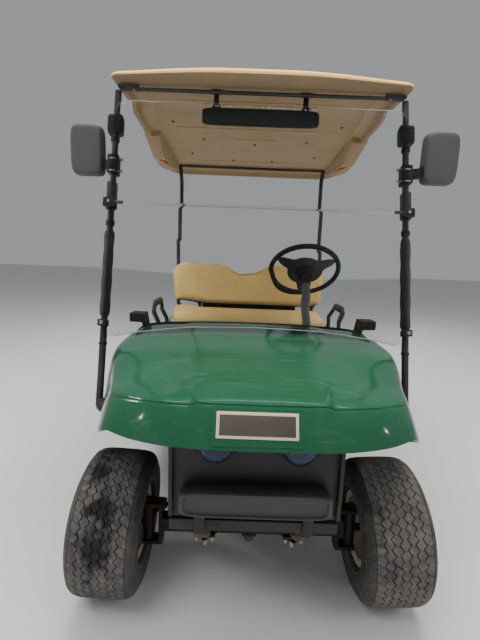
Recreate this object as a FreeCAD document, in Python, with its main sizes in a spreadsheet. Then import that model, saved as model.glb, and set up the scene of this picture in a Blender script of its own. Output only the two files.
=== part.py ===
import FreeCAD, Part
import os
import re
import Sketcher

# Two-seat golf cart. Row frame in millimetres: the nose points to -Y, +Z is up, +X is the
# driver's side, which is called left. Z = 0 is the ground, and the origin lies under the
# middle of the cart's length and width. Places along the cart are given behind the front axle.

SIZES = (
    # Whole cart
    ("wheelbase", 1664), ("front_overhang", 430), ("rear_overhang", 256), ("fit_gap", 0.3),
    # Wheels, tyre size 18 x 8.5 - 8
    ("tyre_diameter", 457), ("tyre_width", 216), ("tread_half", 72), ("shoulder_drop", 14),
    ("shoulder_half", 92), ("widest_radius", 165), ("bead_half", 84), ("rim_width", 176),
    ("rim_radius", 101), ("rim_wall", 4), ("rim_flange", 18), ("disc_place", 8), ("disc_thickness", 6),
    ("wheel_hub_radius", 32), ("wheel_hub_inner", 40), ("wheel_hub_outer", 20),
    ("spindle_radius", 12.5), ("running_gap", 0.05), ("front_track", 900), ("rear_track", 978),
    ("camber", 3),
    # Front axle, knuckles and tie rod
    ("kingpin_inset", 105), ("beam_size", 45), ("beam_drop", 4), ("yoke_back", 38),
    ("yoke_plate", 12), ("yoke_reach", 18), ("yoke_half_height", 75), ("yoke_width", 44),
    ("kingpin_radius", 9), ("boss_radius", 18), ("boss_gap", 0.5), ("steer_arm", 110),
    ("steer_arm_inset", 30), ("steer_arm_size", 12), ("tie_rod_radius", 8), ("tie_rod_drop", 0.5),
    ("spring_plate", 70), ("spring_plate_thickness", 8), ("spring_stud", 60),
    ("spring_stud_radius", 8), ("stop_block", 50), ("stop_cup_radius", 17), ("stop_cup_height", 24),
    # Springs
    ("front_spring_track", 300), ("rear_spring_track", 600), ("spring_width", 44),
    ("spring_thickness", 20), ("spring_half_length", 250), ("front_spring_half", 180),
    ("spring_seat_half", 60),
    ("spring_rise", 57.5), ("spring_eye", 40),
    # Rear axle and motor
    ("axle_tube_radius", 35), ("differential_radius", 114), ("differential_half", 90),
    ("drum_radius", 80), ("drum_inner", 385), ("drum_outer", 468), ("motor_radius", 85),
    ("motor_length", 240), ("motor_ahead", 150),
    # Frame
    ("rail_track", 300), ("rail_width", 45), ("rail_height", 50), ("frame_front", -185),
    ("frame_back", 1875), ("outrigger_half", 330), ("outrigger_width", 40),
    ("outrigger_height", 30), ("tie_bar_radius", 16), ("bumper_beam_half", 400),
    ("hitch_hole_radius", 6.5), ("hitch_hole_spacing", 150),
    # Floor, toe board and rockers
    ("floor_thickness", 18), ("floor_bend", 335), ("floor_end", 1062), ("toe_top", 155),
    ("toe_thickness", 10), ("rocker_width", 42), ("rocker_height", 58),
    # Cowl
    ("cowl_wall", 5), ("cowl_low", 340), ("arch_front_z", 553), ("arch_back", 262),
    ("arch_fall", 50), ("arch_lip", 330), ("arch_rise", 200), ("arch_bulge", 20),
    ("lip_z", 712), ("fender_back", 330), ("fender_step", 20), ("run_past", 50),
    # Nose bar, front panel, lamps and bumper
    ("nose_front", -235), ("nose_bar_height", 34), ("nose_bar_lap", 20),
    ("panel_half", 235), ("panel_thickness", 10), ("panel_low", 430), ("panel_top", 740),
    ("panel_leg", 30),
    ("bumper_half", 202), ("bumper_low", 460), ("bumper_height", 76), ("bumper_depth", 52),
    ("bumper_corner", 22), ("lamp_spacing", 216), ("lamp_radius", 50), ("lamp_depth", 55),
    ("lamp_z", 658),
    # Dash and steering
    ("dash_inset", 8), ("dash_depth", 25), ("dash_low", 600), ("dash_end_inner", 450),
    ("dash_end_outer", 512), ("dash_end_low", 846), ("dash_end_top", 880), ("dash_end_depth", 80),
    ("dash_riser", 14), ("dash_riser_low", 780),
    ("pocket_inner", 90), ("pocket_outer", 420), ("pocket_low", 640), ("pocket_high", 790),
    ("pocket_depth", 110), ("pocket_wall", 4),
    ("wheel_side", 250), ("wheel_back", 763), ("wheel_height", 1064), ("column_angle", 43),
    ("column_radius", 19), ("column_hole_gap", 5), ("wheel_radius", 174),
    ("grip_radius", 13), ("hub_radius", 48), ("hub_depth", 40), ("spoke_width", 30),
    ("spoke_thickness", 9),
    # Pedals
    ("brake_side", 185), ("throttle_side", 90), ("pedal_width", 76), ("pedal_length", 130),
    ("pedal_thickness", 10), ("pedal_height", 55), ("pedal_stem", 24),
    # Seat
    ("seat_half", 500), ("seat_front_half", 470), ("seat_front", 1095), ("seat_back", 1440),
    ("seat_low", 690), ("seat_top", 805), ("seat_corner", 60), ("hinge_radius", 6),
    ("hinge_tab", 60), ("hinge_spacing", 600),
    ("back_half", 510), ("back_face", 1480), ("back_low", 826), ("back_height", 250),
    ("back_dip", 60), ("back_hump", 150), ("back_corner", 60), ("back_thickness", 75),
    ("back_lean", 10), ("back_leg_spacing", 420), ("tube_radius", 12.5), ("tube_bend", 60),
    ("restraint_half", 545), ("restraint_front", 1115), ("restraint_length", 270),
    ("restraint_top", 850),
    # Rear body, bag well, basket and rack
    ("body_half", 585), ("body_wall", 6), ("body_front", 1085), 
    ("rear_deck_z", 700), ("deck_step", 1530), ("deck_step_length", 35), ("tail_top", 1820),
    ("tail_high", 640), ("tail_low", 430), ("body_low", 345), ("arch_radius", 272),
    ("hatch_half", 400), ("hatch_front", 1125), ("hatch_length", 370),
    ("battery_length", 340), ("battery_width", 620), ("battery_height", 250), ("battery_front", 1130),
    ("well_half", 335), ("well_front", 1605), ("well_floor", 405), ("well_wall", 5),
    ("basket_half", 330), ("basket_low", 760), ("basket_height", 120), ("basket_wall", 4),
    ("rack_half", 365), ("rack_back", 1800), ("rack_top", 950),
    # Struts and windshield
    ("strut_track", 1100), ("strut_top_back", 428), ("strut_foot", 565),
    ("strut_lean", 14.7), ("foot_height", 50), ("rear_strut_track", 940),
    ("rear_strut_back", 1620), ("rear_strut_lean", 1.8), ("crossbar_radius", 7),
    ("pane_half", 551), ("pane_thickness", 5), ("pane_split", 1300),
    ("pane_split_gap", 6), ("pane_top", 1682), ("pane_low_middle", 873), ("pane_low_shoulder", 846),
    ("pane_low_end", 806), ("pane_shoulder", 400), ("clamp_radius", 21), ("clamp_height", 30),
    # Roof
    ("roof_half", 577), ("roof_front", 392), ("roof_length", 1416), ("roof_bow", 26),
    ("roof_z", 1752), ("roof_rim", 44), ("roof_crown", 32), ("roof_crown_inset", 90),
    ("roof_recess", 26), ("roof_edge", 42), ("roof_corner", 110), ("roof_slope", 1.2),
    ("pod_length", 750), ("pod_width", 92), ("pod_depth", 44), ("pod_hole", 50), ("pod_taper", 220),
    ("pod_end", 390),
    # Mirrors
    ("mirror_width", 124), ("mirror_height", 188), ("mirror_depth", 58), ("mirror_corner", 22),
    ("mirror_inner", 609), ("mirror_back", 420), ("mirror_forward", 70), ("mirror_rise", 72),
    ("mirror_arm_z", 1440),
    ("mirror_arm", 24), ("rear_mirror_half", 235), ("rear_mirror_height", 60),
    ("rear_mirror_depth", 26), ("rear_mirror_back", 500), ("rear_mirror_z", 1648),
    ("rear_mirror_bracket", 180), ("bracket_width", 20),
)

# Sections of the cowl from the dash to the nose: place behind the front axle, half width,
# height of the crown, and height of the crease between the top and the flank.
COWL_SECTIONS = (
    # name, back, half, crown, crease
    ("dash", 420, 526, 858, 640),
    ("strut", 144, 526, 853, 600),
    ("wheel", 0, 514, 847, 560),
    ("fender", -130, 472, 840, 600),
    ("lamp", -250, 422, 828, 680),
    ("front", -340, 355, 812, 738),
    ("bow", -400, 252, 790, 757),
    ("nose", -430, 120, 768, 755),
)
# Points of one section as shares of the half width and of the fall from crown to crease.
COWL_POINTS = ((0.5, 0.02), (0.78, 0.08), (0.87, 0.2), (0.93, 0.45), (1.0, 1.0))

# Places that follow from the sizes.
PLACES = (
    ("front_axle_y", "(front_overhang - rear_overhang - wheelbase) / 2"),
    ("rear_axle_y", "front_axle_y + wheelbase"),
    ("tail_y", "rear_axle_y + rear_overhang"),
    ("front_hub_z", "tyre_diameter / 2 * cos(camber) + tread_half * sin(camber)"),
    ("rear_hub_z", "tyre_diameter / 2"),
    ("beam_z", "front_hub_z - beam_drop"),
    ("kingpin_x", "front_track / 2 - kingpin_inset"),
    ("rail_low_z", "beam_z + beam_size / 2 + spring_thickness + spring_rise"),
    ("rail_top_z", "rail_low_z + rail_height"),
    ("floor_z", "rail_top_z + floor_thickness"),
    ("cowl_inner", "cowl_half_dash - cowl_wall - fit_gap"),
    ("dash_y", "front_axle_y + cowl_back_dash + fit_gap"),
    ("strut_foot_y", "front_axle_y + strut_top_back - (strut_top - strut_foot) * tan(strut_lean)"),
    ("mirror_z", "mirror_arm_z + mirror_rise"),
    ("cowl_reach", "cowl_half_strut + cowl_half_wheel"),
    ("roof_under_z", "roof_z + roof_recess"),
    ("deck_z", "seat_low - fit_gap"),
    ("toe_rise", "(floor_bend + toe_thickness - toe_top) * tan(column_angle)"),
    ("column_length", "(wheel_back - floor_bend - toe_thickness) * sin(column_angle)"
                      " + (wheel_height - floor_z) * cos(column_angle) - fit_gap"),
    ("strut_top", "roof_z - (strut_top_back - roof_front) * tan(roof_slope)"
                  " - tube_radius * sin(strut_lean) - fit_gap"),
    ("rear_strut_top", "roof_under_z - (rear_strut_back + 40 - roof_front) * tan(roof_slope)"
                       " - tube_radius * (sin(rear_strut_lean) + tan(roof_slope)) - fit_gap"),
)

doc = FreeCAD.newDocument("GolfCart")
sheet = doc.addObject("Spreadsheet::Sheet", "Sizes")


def fill_sheet():
    """Write every driving size in a cell of its own with its alias."""
    rows = list(SIZES)
    for name, back, half, crown, crease in COWL_SECTIONS:
        rows += [(f"cowl_back_{name}", back), (f"cowl_half_{name}", half)]
        rows += [(f"cowl_crown_{name}", crown), (f"cowl_crease_{name}", crease)]
    for row, (alias, value) in enumerate(rows, 1):
        sheet.set(f"A{row}", str(value))
        sheet.setAlias(f"A{row}", alias)
    doc.recompute()
    return {alias for alias, value in rows}


ALIASES = fill_sheet()
WORDS = dict(PLACES)


def tied(text):
    """The expression with each named place written out and each size read from the sheet."""
    def word(match):
        name = match.group()
        if name in WORDS:
            return f"({tied(WORDS[name])})"
        return f"Sizes.{name}" if name in ALIASES else name
    return re.sub(r"[A-Za-z_]\w*", word, str(text))


def number(text):
    """The expression's present value."""
    value = sheet.evalExpression(tied(text))
    return float(getattr(value, "Value", value))


def bind(obj, **sizes):
    for name, text in sizes.items():
        obj.setExpression(name, tied(text))
    return obj


def place(obj, x=0, y=0, z=0, yaw=0, pitch=0, roll=0):
    """Put the object at a point, turned about Z, then its own Y, then its own X."""
    spot = f"vector({x}; {y}; {z})"
    obj.setExpression("Placement", tied(f"placement({spot}; rotation({yaw}; {pitch}; {roll}))"))
    return obj


def box(name, x, y, z):
    """A block between two places along each axis."""
    block = doc.addObject("Part::Box", name)
    bind(block, Length=f"({x[1]}) - ({x[0]})", Width=f"({y[1]}) - ({y[0]})")
    bind(block, Height=f"({z[1]}) - ({z[0]})")
    return place(block, x[0], y[0], z[0])


TURNS = {"X": (0, 90, 0), "Y": (0, 0, -90), "Z": (0, 0, 0)}


def rod(name, radius, length, x=0, y=0, z=0, axis="Z", turn=None):
    """A cylinder from a point along one axis, or turned by yaw, pitch and roll."""
    bar = doc.addObject("Part::Cylinder", name)
    bind(bar, Radius=radius, Height=length)
    return place(bar, x, y, z, *(turn or TURNS[axis]))


def fuse(name, *pieces):
    joined = doc.addObject("Part::MultiFuse", name)
    joined.Shapes = list(pieces)
    joined.Refine = True
    return joined


def cut(name, base, *tools):
    tool = tools[0] if len(tools) == 1 else fuse(name + "_tools", *tools)
    result = doc.addObject("Part::Cut", name)
    result.Base = base
    result.Tool = tool
    return result


def mirrored(name, source):
    """The same piece on the other side of the cart's middle plane."""
    copy = doc.addObject("Part::Mirroring", name)
    copy.Source = source
    copy.Normal = FreeCAD.Vector(1, 0, 0)
    return copy


def pair(name, source):
    """Two like pieces that don't touch, one on each side, in one node."""
    both = doc.addObject("Part::Compound", name)
    both.Links = [source, mirrored(name + "_other_side", source)]
    return both


def new_body(name):
    return doc.addObject("PartDesign::Body", name)


def add_sketch(body, name, plane, offset=0):
    """A sketch on one of the body's own planes, moved along the plane's normal."""
    sketch = body.newObject("Sketcher::SketchObject", name)
    origin = [item for item in body.Origin.OriginFeatures if item.Role == plane + "_Plane"][0]
    sketch.AttachmentSupport = [(origin, "")]
    sketch.MapMode = "FlatFace"
    sketch.setExpression("AttachmentOffset.Base.z", tied(offset))
    return sketch


def pin_point(sketch, element, end, x, y):
    """Hold one point of an element at a place read from the sheet."""
    for kind, text in (("DistanceX", x), ("DistanceY", y)):
        value = number(text)
        held = sketch.addConstraint(Sketcher.Constraint(kind, -1, 1, element, end, value))
        sketch.setExpression(f"Constraints[{held}]", tied(text))


def outline(sketch, points):
    """A closed outline of straight lines with every corner tied to the sheet."""
    corners = [FreeCAD.Vector(number(x), number(y), 0) for x, y in points]
    for index, corner in enumerate(corners):
        after = corners[(index + 1) % len(corners)]
        sketch.addGeometry(Part.LineSegment(corner, after))
    for index, (x, y) in enumerate(points):
        after = (index + 1) % len(points)
        sketch.addConstraint(Sketcher.Constraint("Coincident", index, 2, after, 1))
        pin_point(sketch, index, 1, x, y)
    return sketch


def circle(sketch, x, y, radius):
    spot = FreeCAD.Vector(number(x), number(y), 0)
    ring = sketch.addGeometry(Part.Circle(spot, FreeCAD.Vector(0, 0, 1), number(radius)))
    pin_point(sketch, ring, 3, x, y)
    held = sketch.addConstraint(Sketcher.Constraint("Radius", ring, number(radius)))
    sketch.setExpression(f"Constraints[{held}]", tied(radius))
    return sketch


PLANES = {"X": "YZ", "Y": "XZ", "Z": "XY"}
ALONG = {"X": FreeCAD.Vector(1, 0, 0), "Y": FreeCAD.Vector(0, 1, 0), "Z": FreeCAD.Vector(0, 0, 1)}


def prism(name, axis, points, low, high, corner=None):
    """An outline drawn across an axis and padded between two places along it.
    Outlines across X are (y, z), across Y they are (x, z), and across Z they are (x, y)."""
    body = new_body(name)
    start = f"-({high})" if axis == "Y" else low
    sketch = outline(add_sketch(body, name + "_outline", PLANES[axis], start), points)
    pad = body.newObject("PartDesign::Pad", name + "_pad")
    pad.Profile = sketch
    bind(pad, Length=f"({high}) - ({low})")
    if corner:
        doc.recompute()
        edges = [f"Edge{i}" for i, edge in enumerate(pad.Shape.Edges, 1) if runs_along(edge, axis)]
        round_edges(body, name + "_corners", pad, edges, corner)
    return body


def runs_along(edge, axis):
    ends = [vertex.Point for vertex in edge.Vertexes]
    step = ends[-1] - ends[0]
    return abs(abs(step.dot(ALONG[axis])) - step.Length) < 1e-6


def round_edges(body, name, feature, edges, radius):
    rounded = body.newObject("PartDesign::Fillet", name)
    rounded.Base = (feature, edges)
    bind(rounded, Radius=radius)
    return rounded


def hoop(name, plane, first, last, low, high, radius, bend):
    """A tube bent in one plane: up from a foot, across and down to the other foot."""
    body = new_body(name)
    path = add_sketch(body, name + "_path", plane)
    rise = f"({high}) - ({bend})"
    inner = (f"({first}) + ({bend})", f"({last}) - ({bend})")
    stops = [((first, low), (first, rise)), ((inner[0], high), (inner[1], high)),
             ((last, rise), (last, low))]
    for start, stop in stops:
        ends = [FreeCAD.Vector(number(a), number(b), 0) for a, b in (start, stop)]
        line = path.addGeometry(Part.LineSegment(*ends))
        pin_point(path, line, 1, *start)
        pin_point(path, line, 2, *stop)
    for before, middle, after, spread in ((0, inner[0], 1, (90, 180)), (1, inner[1], 2, (0, 90))):
        spot = FreeCAD.Vector(number(middle), number(rise), 0)
        ring = Part.Circle(spot, FreeCAD.Vector(0, 0, 1), number(bend))
        first_angle, last_angle = [angle * 3.141592653589793 / 180 for angle in spread]
        arc = path.addGeometry(Part.ArcOfCircle(ring, first_angle, last_angle))
        path.addConstraint(Sketcher.Constraint("Coincident", arc, 2, before, 2))
        path.addConstraint(Sketcher.Constraint("Coincident", arc, 1, after, 1))
        held = path.addConstraint(Sketcher.Constraint("Radius", arc, number(bend)))
        path.setExpression(f"Constraints[{held}]", tied(bend))
    foot = add_sketch(body, name + "_section", "XY", low)
    across = (first, 0) if plane == "XZ" else (0, first)
    circle(foot, *across, radius)
    pipe = body.newObject("PartDesign::AdditivePipe", name + "_pipe")
    pipe.Profile = foot
    pipe.Spine = path
    return body


NODES = {}


def node(name, piece):
    """Name a finished piece: its label names its file."""
    piece.Label = name
    NODES[name] = piece
    return piece


def both_ways(points):
    """An outline given on one side, from the middle out, completed on the other side."""
    return list(points) + [(f"-({x})", z) for x, z in reversed(points) if str(x) != "0"]


# Frame and axles

def frame():
    rail_x = ("rail_track / 2 - rail_width / 2", "rail_track / 2 + rail_width / 2")
    rail = box("rail", rail_x, ("front_axle_y + frame_front", "front_axle_y + frame_back"),
               ("rail_low_z", "rail_top_z"))
    node("frame_rails", pair("rails", rail))
    bars = []
    for number_, middle in (("front", "rear_axle_y - spring_half_length - spring_eye / 2"),
                            ("back", "rear_axle_y + spring_half_length - spring_eye")):
        bars.append(box("outrigger_" + number_, ("-outrigger_half", "outrigger_half"),
                        (f"{middle} - outrigger_width / 2", f"{middle} + outrigger_width / 2"),
                        ("rail_low_z - outrigger_height", "rail_low_z")))
    span = "rail_track - rail_width"
    bars.append(box("nose_bar", ("-panel_half", "panel_half"),
                    ("front_axle_y + nose_front", "front_axle_y + frame_front + nose_bar_lap"),
                    ("rail_top_z + fit_gap", "rail_top_z + nose_bar_height")))
    for name, back in (("nose", "frame_front + 2 * tie_bar_radius"), ("middle", "floor_bend + 300")):
        bars.append(rod("tie_bar_" + name, "tie_bar_radius", span, f"-({span}) / 2",
                        f"front_axle_y + {back}", "rail_low_z + rail_height / 2", "X"))
    ladder = doc.addObject("Part::Compound", "crossmembers")
    ladder.Links = bars
    node("frame_crossmembers", ladder)
    beam = box("bumper_beam", ("-bumper_beam_half", "bumper_beam_half"),
               ("front_axle_y + frame_back + fit_gap", "tail_y"), ("rail_low_z", "rail_top_z"))
    hole = [rod("hitch_hole_" + side, "hitch_hole_radius", "200", f"{sign} * hitch_hole_spacing / 2",
                "tail_y - 100", "rail_low_z + rail_height / 2", "Y")
            for side, sign in (("left", 1), ("right", -1))]
    node("rear_bumper", cut("rear_beam", beam, *hole))


def leaf_spring(name, track, axle_y, seat_z, top_z, half):
    """One spring pack: flat on its axle, rising to an eye block under the frame at each end."""
    seat_top = f"({seat_z}) + spring_thickness"
    points = [(f"({axle_y}) - spring_seat_half", seat_z), (f"({axle_y}) + spring_seat_half", seat_z),
              (f"({axle_y}) + {half}", f"({top_z}) - spring_thickness"),
              (f"({axle_y}) + {half}", top_z), (f"({axle_y}) + {half} - spring_eye", top_z),
              (f"({axle_y}) + {half} - spring_eye", f"({top_z}) - 2"),
              (f"({axle_y}) + spring_seat_half", seat_top),
              (f"({axle_y}) - spring_seat_half", seat_top),
              (f"({axle_y}) - {half} + spring_eye", f"({top_z}) - 2"),
              (f"({axle_y}) - {half} + spring_eye", top_z), (f"({axle_y}) - {half}", top_z),
              (f"({axle_y}) - {half}", f"({top_z}) - spring_thickness")]
    return prism(name, "X", points, f"{track} / 2 - spring_width / 2", f"{track} / 2 + spring_width / 2")


def springs():
    front = leaf_spring("front_spring", "front_spring_track", "front_axle_y",
                        "beam_z + beam_size / 2 + fit_gap", "rail_low_z - fit_gap", "front_spring_half")
    rear = leaf_spring("rear_spring", "rear_spring_track", "rear_axle_y",
                       "rear_hub_z + axle_tube_radius + fit_gap",
                       "rail_low_z - outrigger_height - fit_gap", "spring_half_length")
    node("front_leaf_springs", pair("front_springs", front))
    node("rear_leaf_springs", pair("rear_springs", rear))


def front_axle():
    """The square beam with a C-shaped yoke at each end, spring plates and a stop in the middle."""
    beam = box("beam", ("-(kingpin_x - yoke_back)", "kingpin_x - yoke_back"),
               ("front_axle_y - beam_size / 2", "front_axle_y + beam_size / 2"),
               ("beam_z - beam_size / 2", "beam_z + beam_size / 2"))
    across = ("front_axle_y - yoke_width / 2", "front_axle_y + yoke_width / 2")
    web_x = ("kingpin_x - yoke_back - yoke_plate", "kingpin_x - yoke_back")
    web = box("yoke_web", web_x, across, ("beam_z - yoke_half_height", "beam_z + yoke_half_height"))
    ears = []
    for name, low in (("upper", "beam_z + yoke_half_height - yoke_plate"),
                      ("lower", "beam_z - yoke_half_height")):
        ears.append(box("yoke_ear_" + name, (web_x[0], "kingpin_x + yoke_reach"), across,
                        (low, f"{low} + yoke_plate")))
    yoke = cut("yoke", fuse("yoke_solid", web, *ears),
               rod("yoke_bore", "kingpin_radius + running_gap", "400", "kingpin_x", "front_axle_y",
                   "beam_z - 200"))
    under = "beam_z - beam_size / 2"
    side = "front_spring_track / 2"
    plate = box("spring_plate", (f"{side} - spring_plate / 2", f"{side} + spring_plate / 2"),
                ("front_axle_y - spring_plate / 2", "front_axle_y + spring_plate / 2"),
                (f"{under} - spring_plate_thickness", under))
    stud = rod("spring_stud", "spring_stud_radius", "spring_stud", side, "front_axle_y",
               f"{under} - spring_stud")
    block = box("stop_block", ("-stop_block / 2", "stop_block / 2"),
                ("front_axle_y - stop_block / 2", "front_axle_y + stop_block / 2"),
                (f"{under} - spring_plate_thickness", under))
    cup = rod("stop_cup", "stop_cup_radius", "stop_cup_height + spring_plate_thickness", 0,
              "front_axle_y", f"{under} - spring_plate_thickness - stop_cup_height")
    half = fuse("axle_half", yoke, plate, stud)
    node("front_axle_beam", fuse("axle", beam, block, cup, half, mirrored("axle_other_half", half)))


def knuckle():
    """King pin, boss, cambered spindle and steering arm of the left wheel, and its mirror."""
    inner = "yoke_half_height - yoke_plate - boss_gap"
    boss = rod("boss", "boss_radius", f"2 * ({inner})", "kingpin_x", "front_axle_y",
               f"beam_z - ({inner})")
    pin = rod("kingpin", "kingpin_radius", "2 * yoke_half_height + 8", "kingpin_x", "front_axle_y",
              "beam_z - yoke_half_height - 4")
    reach = "(front_track / 2 - kingpin_x)"
    spindle = rod("spindle", "spindle_radius", f"{reach} / cos(camber) + wheel_hub_outer + 6",
                  "kingpin_x", "front_axle_y", f"front_hub_z - {reach} * tan(camber)",
                  turn=(0, "90 - camber", 0))
    arm_x = "kingpin_x - steer_arm_inset"
    arm = prism("steer_arm", "Z", [("kingpin_x - steer_arm_size / 2", "front_axle_y"),
                                   ("kingpin_x + steer_arm_size / 2", "front_axle_y"),
                                   (f"{arm_x} + steer_arm_size", "front_axle_y + steer_arm + 10"),
                                   (f"{arm_x} - steer_arm_size", "front_axle_y + steer_arm + 10")],
                "beam_z - steer_arm_size / 2", "beam_z + steer_arm_size / 2")
    left = node("knuckle_left", fuse("knuckle", boss, pin, spindle, arm))
    node("knuckle_right", mirrored("knuckle_mirror", left))
    half = "(kingpin_x - steer_arm_inset)"
    tie_z = "beam_z - steer_arm_size / 2 - tie_rod_drop - tie_rod_radius"
    node("tie_rod", rod("tie", "tie_rod_radius", f"2 * {half} + 24", f"-{half} - 12",
                        "front_axle_y + steer_arm", tie_z, "X"))


def rear_axle():
    """Axle tube, differential, brake drums and the electric motor bolted ahead of it."""
    tube = rod("axle_tube", "axle_tube_radius", "2 * drum_inner", "-drum_inner", "rear_axle_y",
               "rear_hub_z", "X")
    case = rod("differential", "differential_radius", "2 * differential_half",
               "-differential_half", "rear_axle_y", "rear_hub_z", "X")
    drum = rod("drum", "drum_radius", "drum_outer - drum_inner", "drum_inner", "rear_axle_y",
               "rear_hub_z", "X")
    shaft = rod("axle_shaft", "spindle_radius", "rear_track / 2 + wheel_hub_outer + 6 - drum_inner",
                "drum_inner", "rear_axle_y", "rear_hub_z", "X")
    motor = rod("motor", "motor_radius", "motor_length", "-differential_half / 2",
                "rear_axle_y - motor_ahead", "rear_hub_z", "X")
    end = fuse("axle_end", drum, shaft)
    node("rear_axle", fuse("rear_axle_whole", tube, case, motor, end, mirrored("far_end", end)))


# Wheels

def revolve_x(name, points):
    """A closed outline in the XZ plane turned about the X axis."""
    body = new_body(name)
    sketch = outline(add_sketch(body, name + "_outline", "XZ"), points)
    turned = body.newObject("PartDesign::Revolution", name + "_turned")
    turned.Profile = sketch
    turned.ReferenceAxis = (sketch, ["H_Axis"])
    turned.Angle = 360
    return body


def tyre(name):
    bead = ("bead_half - fit_gap", "rim_radius + fit_gap")
    side = [("tread_half", "tyre_diameter / 2"), ("shoulder_half", "tyre_diameter / 2 - shoulder_drop"),
            ("tyre_width / 2", "widest_radius"),
            ("tyre_width / 2 - 10", "rim_radius + rim_flange + 8"),
            (bead[0], "rim_radius + rim_flange + 2"), bead]
    return revolve_x(name, side + [(f"-({x})", r) for x, r in reversed(side)])


def rim(name, hub_inner):
    """Steel wheel: hub with a bore, disc, barrel and a flange at each edge."""
    bore = "spindle_radius + running_gap"
    half = "rim_width / 2"
    inside = "rim_radius - rim_wall"
    disc = ("disc_place", "disc_place + disc_thickness")
    lip = "rim_radius + rim_flange"
    return revolve_x(name, [
        (f"-{hub_inner}", bore), ("wheel_hub_outer", bore), ("wheel_hub_outer", "wheel_hub_radius"),
        (disc[1], "wheel_hub_radius"), (disc[1], inside), (half, inside), (half, lip),
        (f"{half} - rim_wall", lip), (f"{half} - rim_wall", "rim_radius"),
        (f"-({half} - rim_wall)", "rim_radius"), (f"-({half} - rim_wall)", lip),
        (f"-({half})", lip), (f"-({half})", inside), (disc[0], inside),
        (disc[0], "wheel_hub_radius"), (f"-{hub_inner}", "wheel_hub_radius")])


def wheels():
    ends = (
        ("front", "front_track / 2", "front_axle_y", "front_hub_z", "-camber", "wheel_hub_inner"),
        ("rear", "rear_track / 2", "rear_axle_y", "rear_hub_z", "0",
         "(rear_track / 2 - drum_outer - 1)"),
    )
    for end, x, y, z, lean, hub_inner in ends:
        for kind, piece in (("tyre", tyre(f"{end}_tyre")), ("rim", rim(f"{end}_rim", hub_inner))):
            place(piece, x, y, z, 0, lean, 0)
            node(f"{end}_{kind}_left", piece)
            node(f"{end}_{kind}_right", mirrored(f"{end}_{kind}_mirror", piece))


# Floor, cowl and front end

def floor():
    start = "front_axle_y + floor_bend"
    top = "front_axle_y + toe_top"
    points = [("front_axle_y + floor_end", "rail_top_z"), ("front_axle_y + floor_end", "floor_z"),
              (f"{start} + toe_thickness", "floor_z"), (top, "floor_z + toe_rise"),
              (f"{top} - toe_thickness", "floor_z + toe_rise"), (start, "rail_top_z")]
    node("floorboard", prism("floor", "X", points, "-cowl_inner", "cowl_inner"))
    panel = box("rocker", ("cowl_inner + fit_gap", "cowl_inner + rocker_width"),
                ("dash_y", "front_axle_y + floor_end"), ("floor_z + 4 - rocker_height", "floor_z + 4"))
    node("rocker_panels", pair("rockers", panel))


def cowl_section(name, inset=0):
    """The cowl's outline at one section, smaller by an inset, closed along the bottom."""
    half = f"(cowl_half_{name} - {inset})"
    crown = f"(cowl_crown_{name} - {inset})"
    crease = f"(cowl_crease_{name} - {inset})"
    points = [("0", crown)]
    for out, down in COWL_POINTS:
        points.append((f"{out} * {half}", f"{crown} - {down} * ({crown} - {crease})"))
    points.append((half, f"cowl_low - {inset}"))
    return both_ways(points)


def cowl_loft(name, inset, back_shift):
    """One lofted solid through the cowl's sections."""
    body = new_body(name)
    sketches = []
    for section, *_ in COWL_SECTIONS:
        shift = back_shift if section in ("dash", "nose") else 0
        back = f"front_axle_y + cowl_back_{section} + {shift}"
        sketch = add_sketch(body, f"{name}_{section}", "XZ", f"-({back})")
        sketches.append(outline(sketch, cowl_section(section, inset)))
    loft = body.newObject("PartDesign::AdditiveLoft", name + "_loft")
    loft.Profile = sketches[0]
    loft.Sections = sketches[1:]
    loft.Ruled = True
    return body


def cowl():
    """A thin shell, open at the back and below, with the lip and wheel arches cut along one line."""
    shell = cut("cowl_shell", cowl_loft("cowl_outer", 0, 0),
                cowl_loft("cowl_inside", "cowl_wall", "2 * cowl_wall"))
    y = "front_axle_y"
    nose = f"{y} - front_overhang - run_past"
    below = [(nose, "lip_z"), (f"{y} - arch_lip", "lip_z"),
             (f"{y} - arch_rise", "(lip_z + arch_front_z) / 2 + arch_bulge"), (y, "arch_front_z"),
             (f"{y} + arch_back / 2", "arch_front_z - arch_fall / 5"),
             (f"{y} + arch_back", "arch_front_z - arch_fall"),
             (f"{y} + fender_back", "cowl_low + fender_step"), (f"{y} + fender_back", "0"),
             (nose, "0")]
    node("cowl", cut("cowl_whole", shell, prism("arch", "X", below, "-cowl_reach", "cowl_reach")))


def front_end():
    face = "front_axle_y + nose_front - fit_gap"
    panel = box("panel", ("-panel_half", "panel_half"), (f"{face} - panel_thickness", face),
                ("panel_low", "panel_top"))
    leg = box("panel_foot", ("rail_track / 2 - panel_leg / 2", "rail_track / 2 + panel_leg / 2"),
              (f"{face} - panel_thickness", face), ("rail_top_z + fit_gap", "panel_low"))
    node("front_panel", fuse("panel_whole", panel, leg, mirrored("panel_far_foot", leg)))
    front = f"{face} - panel_thickness - fit_gap"
    low, high = "bumper_low", "bumper_low + bumper_height"
    shape = [("bumper_half", low), ("bumper_half", high), ("-bumper_half", high), ("-bumper_half", low)]
    node("front_bumper", prism("bumper", "Y", shape, f"{front} - bumper_depth", front, "bumper_corner"))
    lamp = rod("lamp", "lamp_radius", "lamp_depth", "lamp_spacing / 2", f"{front} - lamp_depth",
               "lamp_z", "Y")
    node("headlamps", pair("lamps", lamp))


# Dash and controls

COLUMN_TURN = (0, 0, "-column_angle")


def along_column(distance):
    """A point of the steering axis below the middle of the wheel."""
    return ("wheel_side", f"front_axle_y + wheel_back - ({distance}) * sin(column_angle)",
            f"wheel_height - ({distance}) * cos(column_angle)")


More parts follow.
